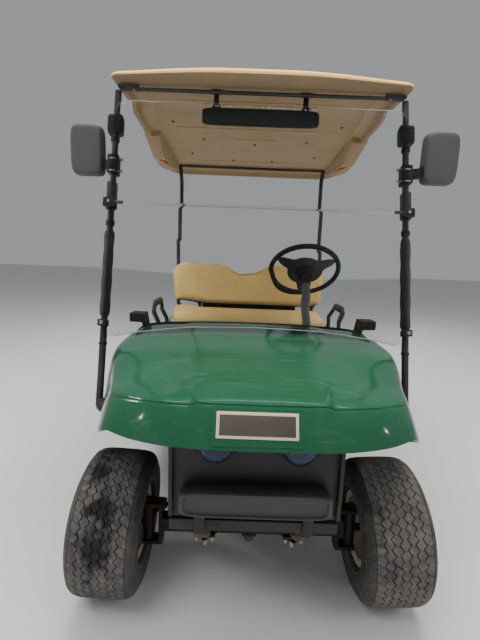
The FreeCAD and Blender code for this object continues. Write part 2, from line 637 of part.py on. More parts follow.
def dash():
    """Panel behind the cowl's rear edge with an end block each side and a glove pocket."""
    shape = [(x, z) for x, z in cowl_section("dash", "dash_inset")]
    low = f"cowl_low - dash_inset"
    shape = [(x, "dash_low" if z == low else z) for x, z in shape]
    board = prism("dash_board", "Y", shape, "dash_y", "dash_y + dash_depth")
    end = box("dash_end", ("dash_end_inner", "dash_end_outer"),
              ("dash_y", "dash_y + dash_end_depth"), ("dash_end_low", "dash_end_top"))
    riser = box("dash_riser_block", ("dash_end_inner", "dash_end_inner + dash_riser"),
                ("dash_y", "dash_y + dash_end_depth"), ("dash_riser_low", "dash_end_top"))
    end = fuse("dash_end_whole", end, riser)
    bin_y = ("dash_y + dash_depth - pocket_depth", "dash_y + dash_depth")
    walls = box("pocket_walls", ("-pocket_outer", "-pocket_inner"), bin_y, ("pocket_low", "pocket_high"))
    room = box("pocket_room", ("-pocket_outer + pocket_wall", "-pocket_inner - pocket_wall"),
               (f"{bin_y[0]} + pocket_wall", f"{bin_y[1]} + 10"),
               ("pocket_low + pocket_wall", "pocket_high - pocket_wall"))
    hole = rod("column_hole", "column_radius + column_hole_gap", "column_length",
               *along_column("column_length"), turn=COLUMN_TURN)
    solid = fuse("dash_solid", board, end, mirrored("dash_far_end", end), walls)
    node("dash", cut("dash_whole", solid, room, hole))


def steering():
    top = "hub_depth + 1"
    column = rod("column", "column_radius", f"column_length - ({top})",
                 *along_column("column_length"), turn=COLUMN_TURN)
    node("steering_column", column)
    spot = along_column(0)
    ring = doc.addObject("Part::Torus", "grip")
    bind(ring, Radius1="wheel_radius - grip_radius", Radius2="grip_radius")
    place(ring, *spot, *COLUMN_TURN)
    hub = rod("steering_hub", "hub_radius", "hub_depth", *along_column("hub_depth"), turn=COLUMN_TURN)
    spokes = []
    for index, angle in enumerate((0, 120, 240)):
        spoke = doc.addObject("Part::Box", f"spoke_{index}")
        bind(spoke, Length="wheel_radius - 1.5 * grip_radius", Width="spoke_width")
        bind(spoke, Height="spoke_thickness")
        turned = (f"placement(vector({'; '.join(spot)}); rotation(0; 0; -column_angle)) * "
                  f"placement(vector(0; 0; 0); rotation({angle} - 90; 0; 0)) * "
                  f"placement(vector(0; -spoke_width / 2; -spoke_thickness / 2); rotation(0; 0; 0))")
        spoke.setExpression("Placement", tied(turned))
        spokes.append(spoke)
    node("steering_wheel", fuse("steering_whole", ring, hub, *spokes))


def pedals():
    """Two pads on short stems that stand on the toe board."""
    pieces = []
    for name, side in (("brake", "brake_side"), ("throttle", "throttle_side")):
        foot = f"vector({side}; front_axle_y + (floor_bend + toe_thickness + toe_top) / 2; "
        foot += "floor_z + toe_rise / 2)"
        lean = f"placement({foot}; rotation(0; 0; -column_angle))"
        pad = doc.addObject("Part::Box", name + "_pad")
        bind(pad, Length="pedal_width", Width="pedal_length", Height="pedal_thickness")
        shift = "placement(vector(-pedal_width / 2; -pedal_length / 2; pedal_height); rotation(0; 0; 0))"
        pad.setExpression("Placement", tied(f"{lean} * {shift}"))
        stem = doc.addObject("Part::Box", name + "_stem")
        bind(stem, Length="pedal_stem", Width="pedal_stem", Height="pedal_height - fit_gap + 1")
        shift = "placement(vector(-pedal_stem / 2; -pedal_stem / 2; fit_gap); rotation(0; 0; 0))"
        stem.setExpression("Placement", tied(f"{lean} * {shift}"))
        pieces.append(fuse(name + "_pedal", pad, stem))
    both = doc.addObject("Part::Compound", "pedal_pair")
    both.Links = pieces
    node("pedals", both)


# Seat and rear body

def seat():
    y = "front_axle_y"
    plan = [("seat_front_half", f"{y} + seat_front"), ("seat_half", f"{y} + seat_front + 120"),
            ("seat_half", f"{y} + seat_back"), ("-seat_half", f"{y} + seat_back"),
            ("-seat_half", f"{y} + seat_front + 120"), ("-seat_front_half", f"{y} + seat_front")]
    node("seat_cushion", prism("cushion", "Z", plan, "seat_low", "seat_top"))
    top = "back_height"
    shape = both_ways([("0", f"{top} - back_dip"), ("back_hump / 2", f"{top} - back_dip / 3"),
                       ("back_hump", top), ("back_half - back_corner", top),
                       ("back_half", f"{top} - back_corner"), ("back_half", "back_corner / 2"),
                       ("back_half - back_corner / 2", "0")])
    rest = prism("rest", "Y", shape, "0", "back_thickness")
    place(rest, 0, f"{y} + back_face", "back_low", 0, 0, "-back_lean")
    node("backrest", rest)


def leg_y():
    """The backrest's legs touch the back of the backrest near its top."""
    return (f"(front_axle_y + back_face + (back_thickness + tube_radius + fit_gap"
            " + (back_height - 1.5 * back_dip) * sin(back_lean)) / cos(back_lean))")


def racks():
    y = "front_axle_y"
    legs = hoop("back_legs", "XZ", "-back_leg_spacing / 2", "back_leg_spacing / 2",
                "rear_deck_z + fit_gap", "back_low + back_height - 1.5 * back_dip", "tube_radius",
                "tube_bend")
    node("backrest_frame", place(legs, 0, leg_y(), 0))
    rack = hoop("rack", "XZ", "-rack_half", "rack_half", "rear_deck_z + fit_gap", "rack_top",
                "tube_radius", "tube_bend")
    node("bag_rack", place(rack, 0, f"{y} + rack_back", 0))
    arm = hoop("restraint", "YZ", f"{y} + restraint_front", f"{y} + restraint_front + restraint_length",
               "deck_z + fit_gap", "restraint_top - tube_radius", "tube_radius", "tube_bend")
    node("hip_restraints", pair("restraints", place(arm, "restraint_half")))
    front = f"{leg_y()} + tube_radius + fit_gap"
    back = f"{y} + rack_back - tube_radius - fit_gap"
    outer = box("basket_outer", ("-basket_half", "basket_half"), (front, back),
                ("basket_low", "basket_low + basket_height"))
    room = box("basket_room", ("-basket_half + basket_wall", "basket_half - basket_wall"),
               (f"{front} + basket_wall", f"{back} - basket_wall"),
               ("basket_low + basket_wall", "basket_low + basket_height + 50"))
    node("sweater_basket", cut("basket", outer, room))


def rear_body():
    y = "front_axle_y"

    def profile(wall):
        return [(f"{y} + body_front - {wall}", f"body_low - 2 * {wall}"),
                (f"{y} + body_front - {wall}", f"deck_z - {wall}"),
                (f"{y} + deck_step + {wall}", f"deck_z - {wall}"),
                (f"{y} + deck_step + deck_step_length + {wall}", f"rear_deck_z - {wall}"),
                (f"{y} + tail_top - {wall} / 2", f"rear_deck_z - {wall}"),
                (f"tail_y - 15 - {wall}", f"tail_high - {wall} / 2"),
                (f"tail_y - {wall}", f"tail_low - {wall}"),
                (f"{y} + battery_front + hatch_length", f"body_low - 2 * {wall}")]
    outer = prism("body_outer", "X", profile("0"), "-body_half", "body_half")
    inner = prism("body_inner", "X", profile("body_wall"), "-(body_half - body_wall)",
                  "body_half - body_wall")
    arch = rod("rear_arch", "arch_radius", "2 * body_half + 20", "-body_half - 10", "rear_axle_y",
               "rear_hub_z", "X")
    hatch = box("hatch", ("-hatch_half", "hatch_half"),
                (f"{y} + hatch_front", f"{y} + hatch_front + hatch_length"), ("deck_z - 50", "deck_z + 50"))
    well = box("well_cut", ("-well_half - fit_gap", "well_half + fit_gap"),
               (f"{y} + well_front - fit_gap", "tail_y + 50"), ("well_floor - 60", "rear_deck_z + 50"))
    shell = cut("rear_shell", outer, inner, arch, hatch, well)
    barrels = []
    for side, sign in (("left", 1), ("right", -1)):
        barrels.append(rod("hinge_" + side, "hinge_radius", "hinge_tab",
                           f"{sign} * hinge_spacing / 2 - hinge_tab / 2",
                           f"{y} + seat_back + hinge_radius + fit_gap", "deck_z + hinge_radius - 1", "X"))
    node("rear_body", fuse("rear_body_whole", shell, *barrels))
    node("seat_skirt", box("skirt", ("-body_half + body_wall", "body_half - body_wall"),
                           (f"{y} + floor_end + fit_gap", f"{y} + body_front - fit_gap"),
                           ("rail_top_z + fit_gap", "deck_z")))
    tray = box("tray", ("-well_half", "well_half"), (f"{y} + well_front", "tail_y - 20"),
               ("well_floor", "rear_deck_z - body_wall"))
    room = box("tray_room", ("-well_half + well_wall", "well_half - well_wall"),
               (f"{y} + well_front + well_wall", "tail_y + 50"),
               ("well_floor + well_wall", "rear_deck_z + 50"))
    node("bag_well", cut("well", tray, room))
    pack = box("pack", ("-battery_width / 2", "battery_width / 2"),
               (f"{y} + battery_front", f"{y} + battery_front + battery_length"),
               ("rail_top_z + fit_gap", "rail_top_z + battery_height"))
    node("battery_pack", pack)


# Struts, windshield and roof

def on_strut(z):
    """Y of the front strut's axis at a height."""
    return f"(strut_foot_y + (({z}) - strut_foot) * tan(strut_lean))"


def struts():
    leaning = (0, 0, "-strut_lean")
    tube = rod("front_tube", "tube_radius", "(strut_top - strut_foot) / cos(strut_lean)",
               "strut_track / 2", "strut_foot_y", "strut_foot", turn=leaning)
    flare = "(cowl_half_wheel - cowl_half_strut) / (cowl_back_strut - cowl_back_wheel)"
    edges = [f"cowl_half_strut + (cowl_back_strut + front_axle_y - strut_foot_y {sign} tube_radius)"
             f" * {flare}" for sign in "+-"]
    inside = f"max({edges[0]}; {edges[1]}) + fit_gap"
    foot = box("strut_foot_block", (inside, "strut_track / 2"),
               ("strut_foot_y - tube_radius", "strut_foot_y + tube_radius"),
               ("strut_foot", "strut_foot + foot_height"))
    node("front_struts", pair("front_tubes", fuse("front_tube_whole", tube, foot)))
    back = rod("rear_tube", "tube_radius", "rear_strut_top - rear_deck_z - fit_gap",
               "rear_strut_track / 2", "front_axle_y + rear_strut_back", "rear_deck_z + 1",
               turn=(0, 0, "-rear_strut_lean"))
    node("rear_struts", pair("rear_tubes", back))
    bars = []
    rear_y = "front_axle_y + rear_strut_back + (rear_strut_top - rear_deck_z) * tan(rear_strut_lean)"
    for name, track, y, z in (
            ("front", "strut_track", on_strut("strut_top - crossbar_radius"),
             "strut_top - crossbar_radius"),
            ("rear", "rear_strut_track", rear_y, "rear_strut_top - crossbar_radius")):
        half = f"({track} / 2 - tube_radius - fit_gap)"
        bars.append(rod("crossbar_" + name, "crossbar_radius", f"2 * {half}", f"-{half}", y, z, "X"))
    both = doc.addObject("Part::Compound", "crossbars")
    both.Links = bars
    node("roof_crossbars", both)
    ring = rod("clamp_ring", "clamp_radius", "clamp_height", "strut_track / 2",
               on_strut("pane_split - clamp_height / 2"), "pane_split - clamp_height / 2", turn=leaning)
    bore = rod("clamp_bore", "tube_radius + fit_gap / 2", "3 * clamp_height", "strut_track / 2",
               on_strut("pane_split - 1.5 * clamp_height"), "pane_split - 1.5 * clamp_height",
               turn=leaning)
    node("windshield_clamps", pair("clamps", cut("clamp", ring, bore)))


def pane(name, points, thickness="pane_thickness"):
    """A flat pane in front of the leaning struts; heights are given up the cart."""
    lifted = [(x, f"(({z}) - strut_foot) / cos(strut_lean)") for x, z in points]
    front = "clamp_radius + fit_gap"
    piece = prism(name, "Y", lifted, f"-({front}) - {thickness}", f"-({front})")
    return place(piece, 0, "strut_foot_y", "strut_foot", 0, 0, "-strut_lean")


def windshield():
    low = "pane_split - pane_split_gap / 2"
    node("windshield_lower", pane("lower_pane", both_ways([
        ("0", low), ("pane_half", low), ("pane_half", "pane_low_end"),
        ("pane_shoulder", "pane_low_shoulder"), ("0", "pane_low_middle")])))
    high = "pane_split + pane_split_gap / 2"
    node("windshield_upper", pane("upper_pane", both_ways([
        ("0", high), ("pane_half", high), ("pane_half", "pane_top - 50"),
        ("pane_half - 50", "pane_top"), ("0", "pane_top")])))


def roof_plan(inset):
    """The roof seen from above: a bowed front edge and cut rear corners."""
    half = f"(roof_half - {inset})"
    back = f"(roof_length - {inset})"
    return both_ways([("0", f"-roof_bow + {inset}"), (f"{half} * 0.55", f"-roof_bow * 0.6 + {inset}"),
                      (f"{half} - 60", f"roof_bow * 0.15 + {inset}"), (half, f"50 + {inset}"),
                      (half, f"{back} - roof_corner"), (f"{half} - roof_corner", back), ("0", back)])


def roof():
    """A moulded shell: rim, low crown, recess below and a grip pod at each rear corner."""
    rim_body = prism("roof_rim", "Z", roof_plan("0"), "0", "roof_rim")
    crown = new_body("crown")
    base = outline(add_sketch(crown, "crown_base", "XY", "roof_rim"), roof_plan("0"))
    top = outline(add_sketch(crown, "crown_top", "XY", "roof_rim + roof_crown"),
                  roof_plan("roof_crown_inset"))
    loft = crown.newObject("PartDesign::AdditiveLoft", "crown_loft")
    loft.Profile = base
    loft.Sections = [top]
    loft.Ruled = True
    recess = prism("roof_recess", "Z", roof_plan("roof_edge"), "-10", "roof_recess")
    pod = prism("pod", "X", [
        ("roof_length - pod_length", "0"), ("roof_length - pod_length + pod_taper", "-pod_depth"),
        ("roof_length - pod_end", "-pod_depth"), ("roof_length - roof_corner", "0"),
        ("roof_length - roof_corner", "roof_recess + 1"), ("roof_length - pod_length", "roof_recess + 1")],
        "roof_half - pod_width", "roof_half - 1")
    grip_x = "roof_half - pod_width / 2"
    grip_y = "roof_length - pod_length + pod_taper + pod_hole"
    grip = prism("pod_grip", "Z", [
        (grip_x, f"{grip_y} - pod_hole"), (f"{grip_x} + pod_hole / 2", grip_y),
        (grip_x, f"{grip_y} + pod_hole"), (f"{grip_x} - pod_hole / 2", grip_y)],
        "-pod_depth - run_past", "roof_recess")
    pods = cut("pod_whole", pod, grip)
    shell = cut("roof_shell", fuse("roof_solid", rim_body, crown), recess)
    whole = fuse("roof_whole", shell, pods, mirrored("pod_far", pods))
    place(whole, 0, "front_axle_y + roof_front", "roof_z", 0, 0, "-roof_slope")
    node("roof", whole)


def side_mirror(name, forward):
    """A housing on an arm that clamps round the strut, swung forward by a distance."""
    shape = [("mirror_inner", "mirror_z - mirror_height / 2"),
             ("mirror_inner + mirror_width", "mirror_z - mirror_height / 2"),
             ("mirror_inner + mirror_width", "mirror_z + mirror_height / 2"),
             ("mirror_inner", "mirror_z + mirror_height / 2")]
    y = f"(front_axle_y + mirror_back - {forward})"
    housing = prism(name + "_housing", "Y", shape, f"{y} - mirror_depth / 2", f"{y} + mirror_depth / 2",
                    "mirror_corner")
    middle = on_strut("mirror_arm_z")
    arm = box(name + "_arm", ("strut_track / 2", "mirror_inner + 20"),
              (f"min({middle}; {y}) - mirror_arm / 2", f"max({middle}; {y}) + mirror_arm / 2"),
              ("mirror_arm_z - mirror_arm / 2", "mirror_arm_z + mirror_arm / 2"))
    ring = rod(name + "_clamp", "clamp_radius", "2 * clamp_height", "strut_track / 2",
               on_strut("mirror_arm_z - clamp_height"), "mirror_arm_z - clamp_height",
               turn=(0, 0, "-strut_lean"))
    bore = rod(name + "_bore", "tube_radius + fit_gap / 2", "6 * clamp_height", "strut_track / 2",
               on_strut("mirror_arm_z - 3 * clamp_height"), "mirror_arm_z - 3 * clamp_height",
               turn=(0, 0, "-strut_lean"))
    return cut(name, fuse(name + "_solid", housing, arm, ring), bore)


def mirrors():
    both = doc.addObject("Part::Compound", "mirror_pair")
    both.Links = [side_mirror("left_mirror", "mirror_forward"),
                  mirrored("far_mirror", side_mirror("right_mirror", "0"))]
    node("side_mirrors", both)
    y = "front_axle_y + rear_mirror_back"
    glass = box("rear_glass", ("-rear_mirror_half", "rear_mirror_half"), (y, f"{y} + rear_mirror_depth"),
                ("rear_mirror_z", "rear_mirror_z + rear_mirror_height"))
    under = "roof_under_z - (rear_mirror_back - roof_front + bracket_width) * tan(roof_slope) - fit_gap"
    bracket = box("mirror_bracket", ("rear_mirror_bracket - bracket_width / 2",
                                     "rear_mirror_bracket + bracket_width / 2"),
                  (y, f"{y} + bracket_width"), ("rear_mirror_z + rear_mirror_height - 20", under))
    node("rear_view_mirror", fuse("rear_mirror", glass, bracket, mirrored("far_bracket", bracket)))


for section in (frame, springs, front_axle, knuckle, rear_axle, wheels, floor, cowl, front_end, dash,
                steering, pedals, seat, racks, rear_body, struts, windshield, roof, mirrors):
    section()
doc.recompute()

for item in doc.Objects:
    faults = [state for state in item.State if state in ("Invalid", "Error")]
    if faults:
        raise RuntimeError(f"{item.Name} is {faults}")
for name, piece in NODES.items():
    if piece.Shape.isNull() or not piece.Shape.isValid():
        raise RuntimeError(f"{name} has no valid shape")

os.makedirs("parts", exist_ok=True)
for name, piece in NODES.items():
    piece.Shape.exportStep(f"parts/{name}.step")
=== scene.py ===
import math

import bmesh
import bpy
import numpy as np
from mathutils import Matrix, Vector


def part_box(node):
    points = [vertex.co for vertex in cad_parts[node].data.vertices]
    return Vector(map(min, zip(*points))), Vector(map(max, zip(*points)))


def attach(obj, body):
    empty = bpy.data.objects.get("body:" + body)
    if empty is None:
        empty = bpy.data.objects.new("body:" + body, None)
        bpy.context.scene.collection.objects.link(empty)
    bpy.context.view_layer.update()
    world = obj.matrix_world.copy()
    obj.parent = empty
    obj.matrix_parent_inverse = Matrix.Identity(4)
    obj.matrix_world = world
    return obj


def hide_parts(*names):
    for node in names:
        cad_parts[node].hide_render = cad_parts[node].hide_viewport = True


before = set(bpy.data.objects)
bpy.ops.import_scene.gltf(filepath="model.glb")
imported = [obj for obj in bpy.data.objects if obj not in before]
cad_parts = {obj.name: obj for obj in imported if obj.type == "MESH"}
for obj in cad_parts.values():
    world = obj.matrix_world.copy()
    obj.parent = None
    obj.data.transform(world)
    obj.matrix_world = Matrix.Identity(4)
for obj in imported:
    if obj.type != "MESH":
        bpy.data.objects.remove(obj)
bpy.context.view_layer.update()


def middle(node, axis):
    """Middle of a node's box along one axis."""
    low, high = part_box(node)
    return (low[axis] + high[axis]) / 2


# half widths, and heights from the ground; places along the cart count from the front axle
FRONT_AXLE = round(middle("front_tyre_left", 1), 4)
REAR_AXLE = round(middle("rear_tyre_left", 1), 4)
TYRE_R = round(middle("rear_tyre_left", 2), 4)
CAMBER = math.radians(3)
STANDING_EDGE = 0.072
FRONT_HUB_Z = TYRE_R * math.cos(CAMBER) + STANDING_EDGE * math.sin(CAMBER)
BEAM_Z = FRONT_HUB_Z - 0.004
STRUT_LEAN = math.radians(14.7)
STRUT_X = 0.55
FRONT_WHEEL_X, REAR_WHEEL_X = 0.45, 0.489
KNUCKLE_X, FRONT_SPRING_X, REAR_SPRING_X = 0.345, 0.15, 0.3
SIDES = (-1, 1)
# small gap between pieces that touch
GAP = 0.0003
X_AXIS, Y_AXIS, Z_AXIS = Vector((1, 0, 0)), Vector((0, 1, 0)), Vector((0, 0, 1))


def vec(x=0.0, y=0.0, z=0.0):
    return Vector((x, y, z))


def milli(*points):
    """Points written in millimetres, or shares written in thousandths."""
    return [tuple(v / 1000 for v in p) for p in points]


def about(mid, half):
    return mid - half, mid + half


# Materials

class Look:
    """A Principled material built from noise: colour variation, roughness and bump."""

    def __init__(self, name, color, rough=0.5, metal=0.0, **plain):
        self.mat = bpy.data.materials.new(name)
        self.mat.use_nodes = True
        self.tree = self.mat.node_tree
        self.bsdf = self.tree.nodes["Principled BSDF"]
        self.color, self.rough = (*color, 1), rough
        self.settle(self.bsdf, Base_Color=self.color, Roughness=rough, Metallic=metal, **plain)
        self.color_out = self.rough_out = self.normal_out = None
        self.coords = self.node("TexCoord").outputs["Object"]

    def settle(self, node, **values):
        """Lower-case values are the node's settings, capitalised ones its sockets."""
        for key, value in values.items():
            if key.islower():
                setattr(node, key, value)
            else:
                node.inputs[key.replace("_", " ")].default_value = value
        return node

    def link(self, source, socket):
        self.tree.links.new(source, socket)

    def node(self, kind, links=(), **values):
        made = self.settle(self.tree.nodes.new("ShaderNode" + kind), **values)
        for socket, source in links:
            self.link(source, made.inputs[socket])
        return made

    def texture(self, kind, out, stretch, **values):
        source = self.coords
        if stretch:
            source = self.node("Mapping", [("Vector", source)], Scale=stretch).outputs["Vector"]
        return self.node(kind, [("Vector", source)], **values).outputs[out]

    def noise(self, scale, detail=4, rough=0.55, stretch=None, distortion=0.0):
        return self.texture("TexNoise", "Fac", stretch, Scale=scale, Detail=detail,
                            Roughness=rough, Distortion=distortion)

    def voronoi(self, scale, feature="F1", stretch=None):
        return self.texture("TexVoronoi", "Distance", stretch, feature=feature, Scale=scale)

    def ramp(self, fac, low, high, to_low=0.0, to_high=1.0):
        return self.node("MapRange", [("Value", fac)], From_Min=low, From_Max=high,
                         To_Min=to_low, To_Max=to_high).outputs["Result"]

    def patches(self, low, high, *noise, top=1.0):
        """Noise that grows from 0 to a top value between two of its levels."""
        return self.ramp(self.noise(*noise), low, high, 0, top)

    def times(self, a, b, how="MULTIPLY"):
        made = self.node("Math", operation=how)
        for socket, value in zip(made.inputs, (a, b)):
            if isinstance(value, (int, float)):
                socket.default_value = value
            else:
                self.link(value, socket)
        return made.outputs[0]

    def tint(self, fac, color, share=None):
        """Mix a share of another colour in where fac is high."""
        if share is not None:
            fac = self.times(fac, share)
        mix = self.node("Mix", [(0, fac)], data_type="RGBA")
        mix.inputs[7].default_value = (*color, 1)
        if self.color_out is None:
            mix.inputs[6].default_value = self.color
        else:
            self.link(self.color_out, mix.inputs[6])
        self.color_out = mix.outputs[2]
        self.link(self.color_out, self.bsdf.inputs["Base Color"])
        return self

    def roughen(self, fac, amount):
        """Add fac times an amount to the roughness."""
        base = self.rough_out if self.rough_out is not None else self.rough
        self.rough_out = self.times(base, self.times(fac, amount), "ADD")
        self.link(self.rough_out, self.bsdf.inputs["Roughness"])
        return self

    def bump(self, fac, distance, strength=1.0):
        links = [("Height", fac)]
        if self.normal_out is not None:
            links.append(("Normal", self.normal_out))
        made = self.node("Bump", links, Distance=distance, Strength=strength)
        self.normal_out = made.outputs["Normal"]
        self.link(self.normal_out, self.bsdf.inputs["Normal"])
        return self


def shaded(color, share):
    return tuple(c * share for c in color)


def green_paint():
    look = Look("green_gloss", (0.011, 0.074, 0.035), 0.12, IOR=1.4)
    look.tint(look.patches(0.35, 0.7, 3, 3, top=0.5), (0.013, 0.092, 0.044))
    # the pale swept streaks are a painted reflection of windows; the same mask also roughens the paint
    streaks_and_reflection = look.patches(0.57, 0.7, 11, 6, 0.7, (0.16, 3.2, 1.6), 0.5)
    look.tint(streaks_and_reflection, (0.055, 0.19, 0.115), 0.2)
    scratches = look.patches(0.64, 0.7, 60, 4, 0.6, (0.1, 3.0, 2.0), 0.3)
    look.tint(scratches, (0.16, 0.3, 0.23), 0.08)
    runs = look.patches(0.66, 0.72, 46, 4, 0.6, (3.0, 0.22, 0.22), 0.3)
    look.tint(runs, (0.16, 0.3, 0.23), 0.04)
    dust = look.patches(0.5, 0.75, 9, 6, 0.65)
    look.tint(dust, (0.25, 0.27, 0.22), 0.05)
    look.roughen(scratches, 0.22).roughen(streaks_and_reflection, 0.1).roughen(dust, 0.08)
    look.bump(look.noise(2.4, 2, 0.4, (0.5, 2.2, 1.0)), 0.004, 0.1)
    return look.bump(scratches, 0.00012, 0.5).bump(look.noise(300, 2), 0.00005, 0.4)


def plastic(name, color, rough, grain=420, depth=0.00022, dust=0.25, dust_color=(0.22, 0.2, 0.17)):
    look = Look(name, color, rough)
    worn = look.patches(0.4, 0.75, 6, 5, 0.6)
    look.tint(worn, dust_color, dust)
    look.tint(look.patches(0.3, 0.7, 2.2, 3, top=0.25), shaded(color, 0.7))
    look.roughen(worn, 0.18)
    return look.bump(look.voronoi(grain), depth, 0.7).bump(look.noise(30, 3), 0.0004, 0.3)


def cream_plastic(name, color, soil_and_shade, gloss=0.3):
    look = Look(name, color, 0.46, Specular_IOR_Level=gloss)
    look.tint(look.patches(0.35, 0.7, 2.5, 4, top=0.45), shaded(color, 0.86))
    # the dirt tint is real soil; where its share is raised, on the roof's underside and lip undercut, it is
    # painted shade too
    dirt_and_shade = look.patches(0.52, 0.72, 11, 7, 0.7)
    look.tint(dirt_and_shade, (0.3, 0.21, 0.12), soil_and_shade).roughen(dirt_and_shade, 0.2)
    return look.bump(look.voronoi(330), 0.0003, 0.5).bump(look.noise(4, 3), 0.002, 0.25)


def vinyl():
    look = Look("tan_vinyl", (0.73, 0.5, 0.175), 0.46)
    look.tint(look.patches(0.42, 0.72, 5, 5, 0.6, top=0.6), (0.54, 0.36, 0.135))
    soil = look.patches(0.55, 0.75, 17, 7, 0.7)
    look.tint(soil, (0.34, 0.23, 0.11), 0.35)
    # the creases are bumped in and also painted darker: painted shade in the creases
    creases_and_shade = look.ramp(look.voronoi(26, "DISTANCE_TO_EDGE", (1, 1, 0.35)), 0.0, 0.045, 1, 0)
    look.tint(creases_and_shade, (0.33, 0.22, 0.1), 0.16).roughen(soil, 0.2)
    look.bump(look.times(creases_and_shade, -1.0), 0.0009, 0.35)
    return look.bump(look.voronoi(520), 0.00035, 0.8).bump(look.noise(14, 3), 0.0018, 0.3)


def tube_paint():
    look = Look("black_tube", (0.019, 0.019, 0.02), 0.33)
    worn = look.patches(0.6, 0.72, 34, 6, 0.7)
    look.tint(worn, (0.08, 0.075, 0.07), 0.4)
    look.tint(look.patches(0.45, 0.7, 5, 4), (0.1, 0.095, 0.085), 0.25)
    return look.roughen(worn, 0.3).bump(look.noise(240, 2), 0.00018, 0.5)


def foam_wrap():
    look = Look("foam_sleeve", (0.04, 0.04, 0.04), 0.85)
    look.tint(look.patches(0.45, 0.7, 8, 5, top=0.4), (0.075, 0.072, 0.068))
    return look.bump(look.voronoi(300), 0.0007, 0.9).bump(look.noise(22, 3), 0.0016, 0.5)


def steel(name, color, rust, rough=0.55, metal=0.6, dust=0.35):
    look = Look(name, color, rough, metal)
    rusty = look.patches(0.45, 0.62, 14, 7, 0.7)
    look.tint(rusty, (0.16, 0.075, 0.032), rust)
    look.tint(look.patches(0.5, 0.7, 70, 6, 0.7), (0.24, 0.15, 0.085), rust * 0.7)
    look.tint(look.patches(0.4, 0.75, 5, 4), (0.2, 0.175, 0.14), dust).roughen(rusty, 0.3)
    return look.bump(look.noise(120, 4), 0.0006, 0.6).bump(rusty, 0.0005, 0.5)


def rubber(name, color, dusty, damp=0.55, dry_from=0.6):
    look = Look(name, color, 0.78)
    dust = look.patches(0.36, 0.66, 7, 7, 0.7)
    look.tint(dust, (0.15, 0.14, 0.126), dusty)
    look.tint(look.patches(0.48, 0.68, 60, 6, 0.7), (0.21, 0.195, 0.175), dusty * 0.55)
    look.tint(look.patches(dry_from, dry_from + 0.07, 5, 5, 0.6), shaded(color, 0.35), damp)
    look.roughen(dust, 0.12)
    return look.bump(look.noise(190, 4), 0.0006, 0.6).bump(look.noise(24, 4), 0.0008, 0.3)


def clear_pane():
    look = Look("clear_acrylic", (0.96, 0.985, 0.98), 0.03, Transmission_Weight=1.0, IOR=1.12)
    look.tint(look.patches(0.45, 0.75, 3, 5, top=0.25), (0.9, 0.93, 0.92))
    look.roughen(look.patches(0.62, 0.75, 30, 6, 0.65, (9, 0.5, 0.6), 0.4), 0.12)
    return look.bump(look.noise(3, 3), 0.0016, 0.2)


def lamp_glass():
    look = Look("lamp_glass", (0.52, 0.68, 0.95), 0.04, Transmission_Weight=1.0, IOR=1.3)
    look.tint(look.patches(0.5, 0.75, 20, 5, top=0.3), (0.4, 0.52, 0.75))
    return look.bump(look.noise(9, 2), 0.001, 0.2)


def mirror_glass():
    look = Look("mirror_glass", (0.82, 0.84, 0.85), 0.05, 1.0)
    look.tint(look.patches(0.5, 0.8, 8, 5, top=0.3), (0.6, 0.61, 0.62))
    return look.roughen(look.patches(0.5, 0.8, 18, 5), 0.12)


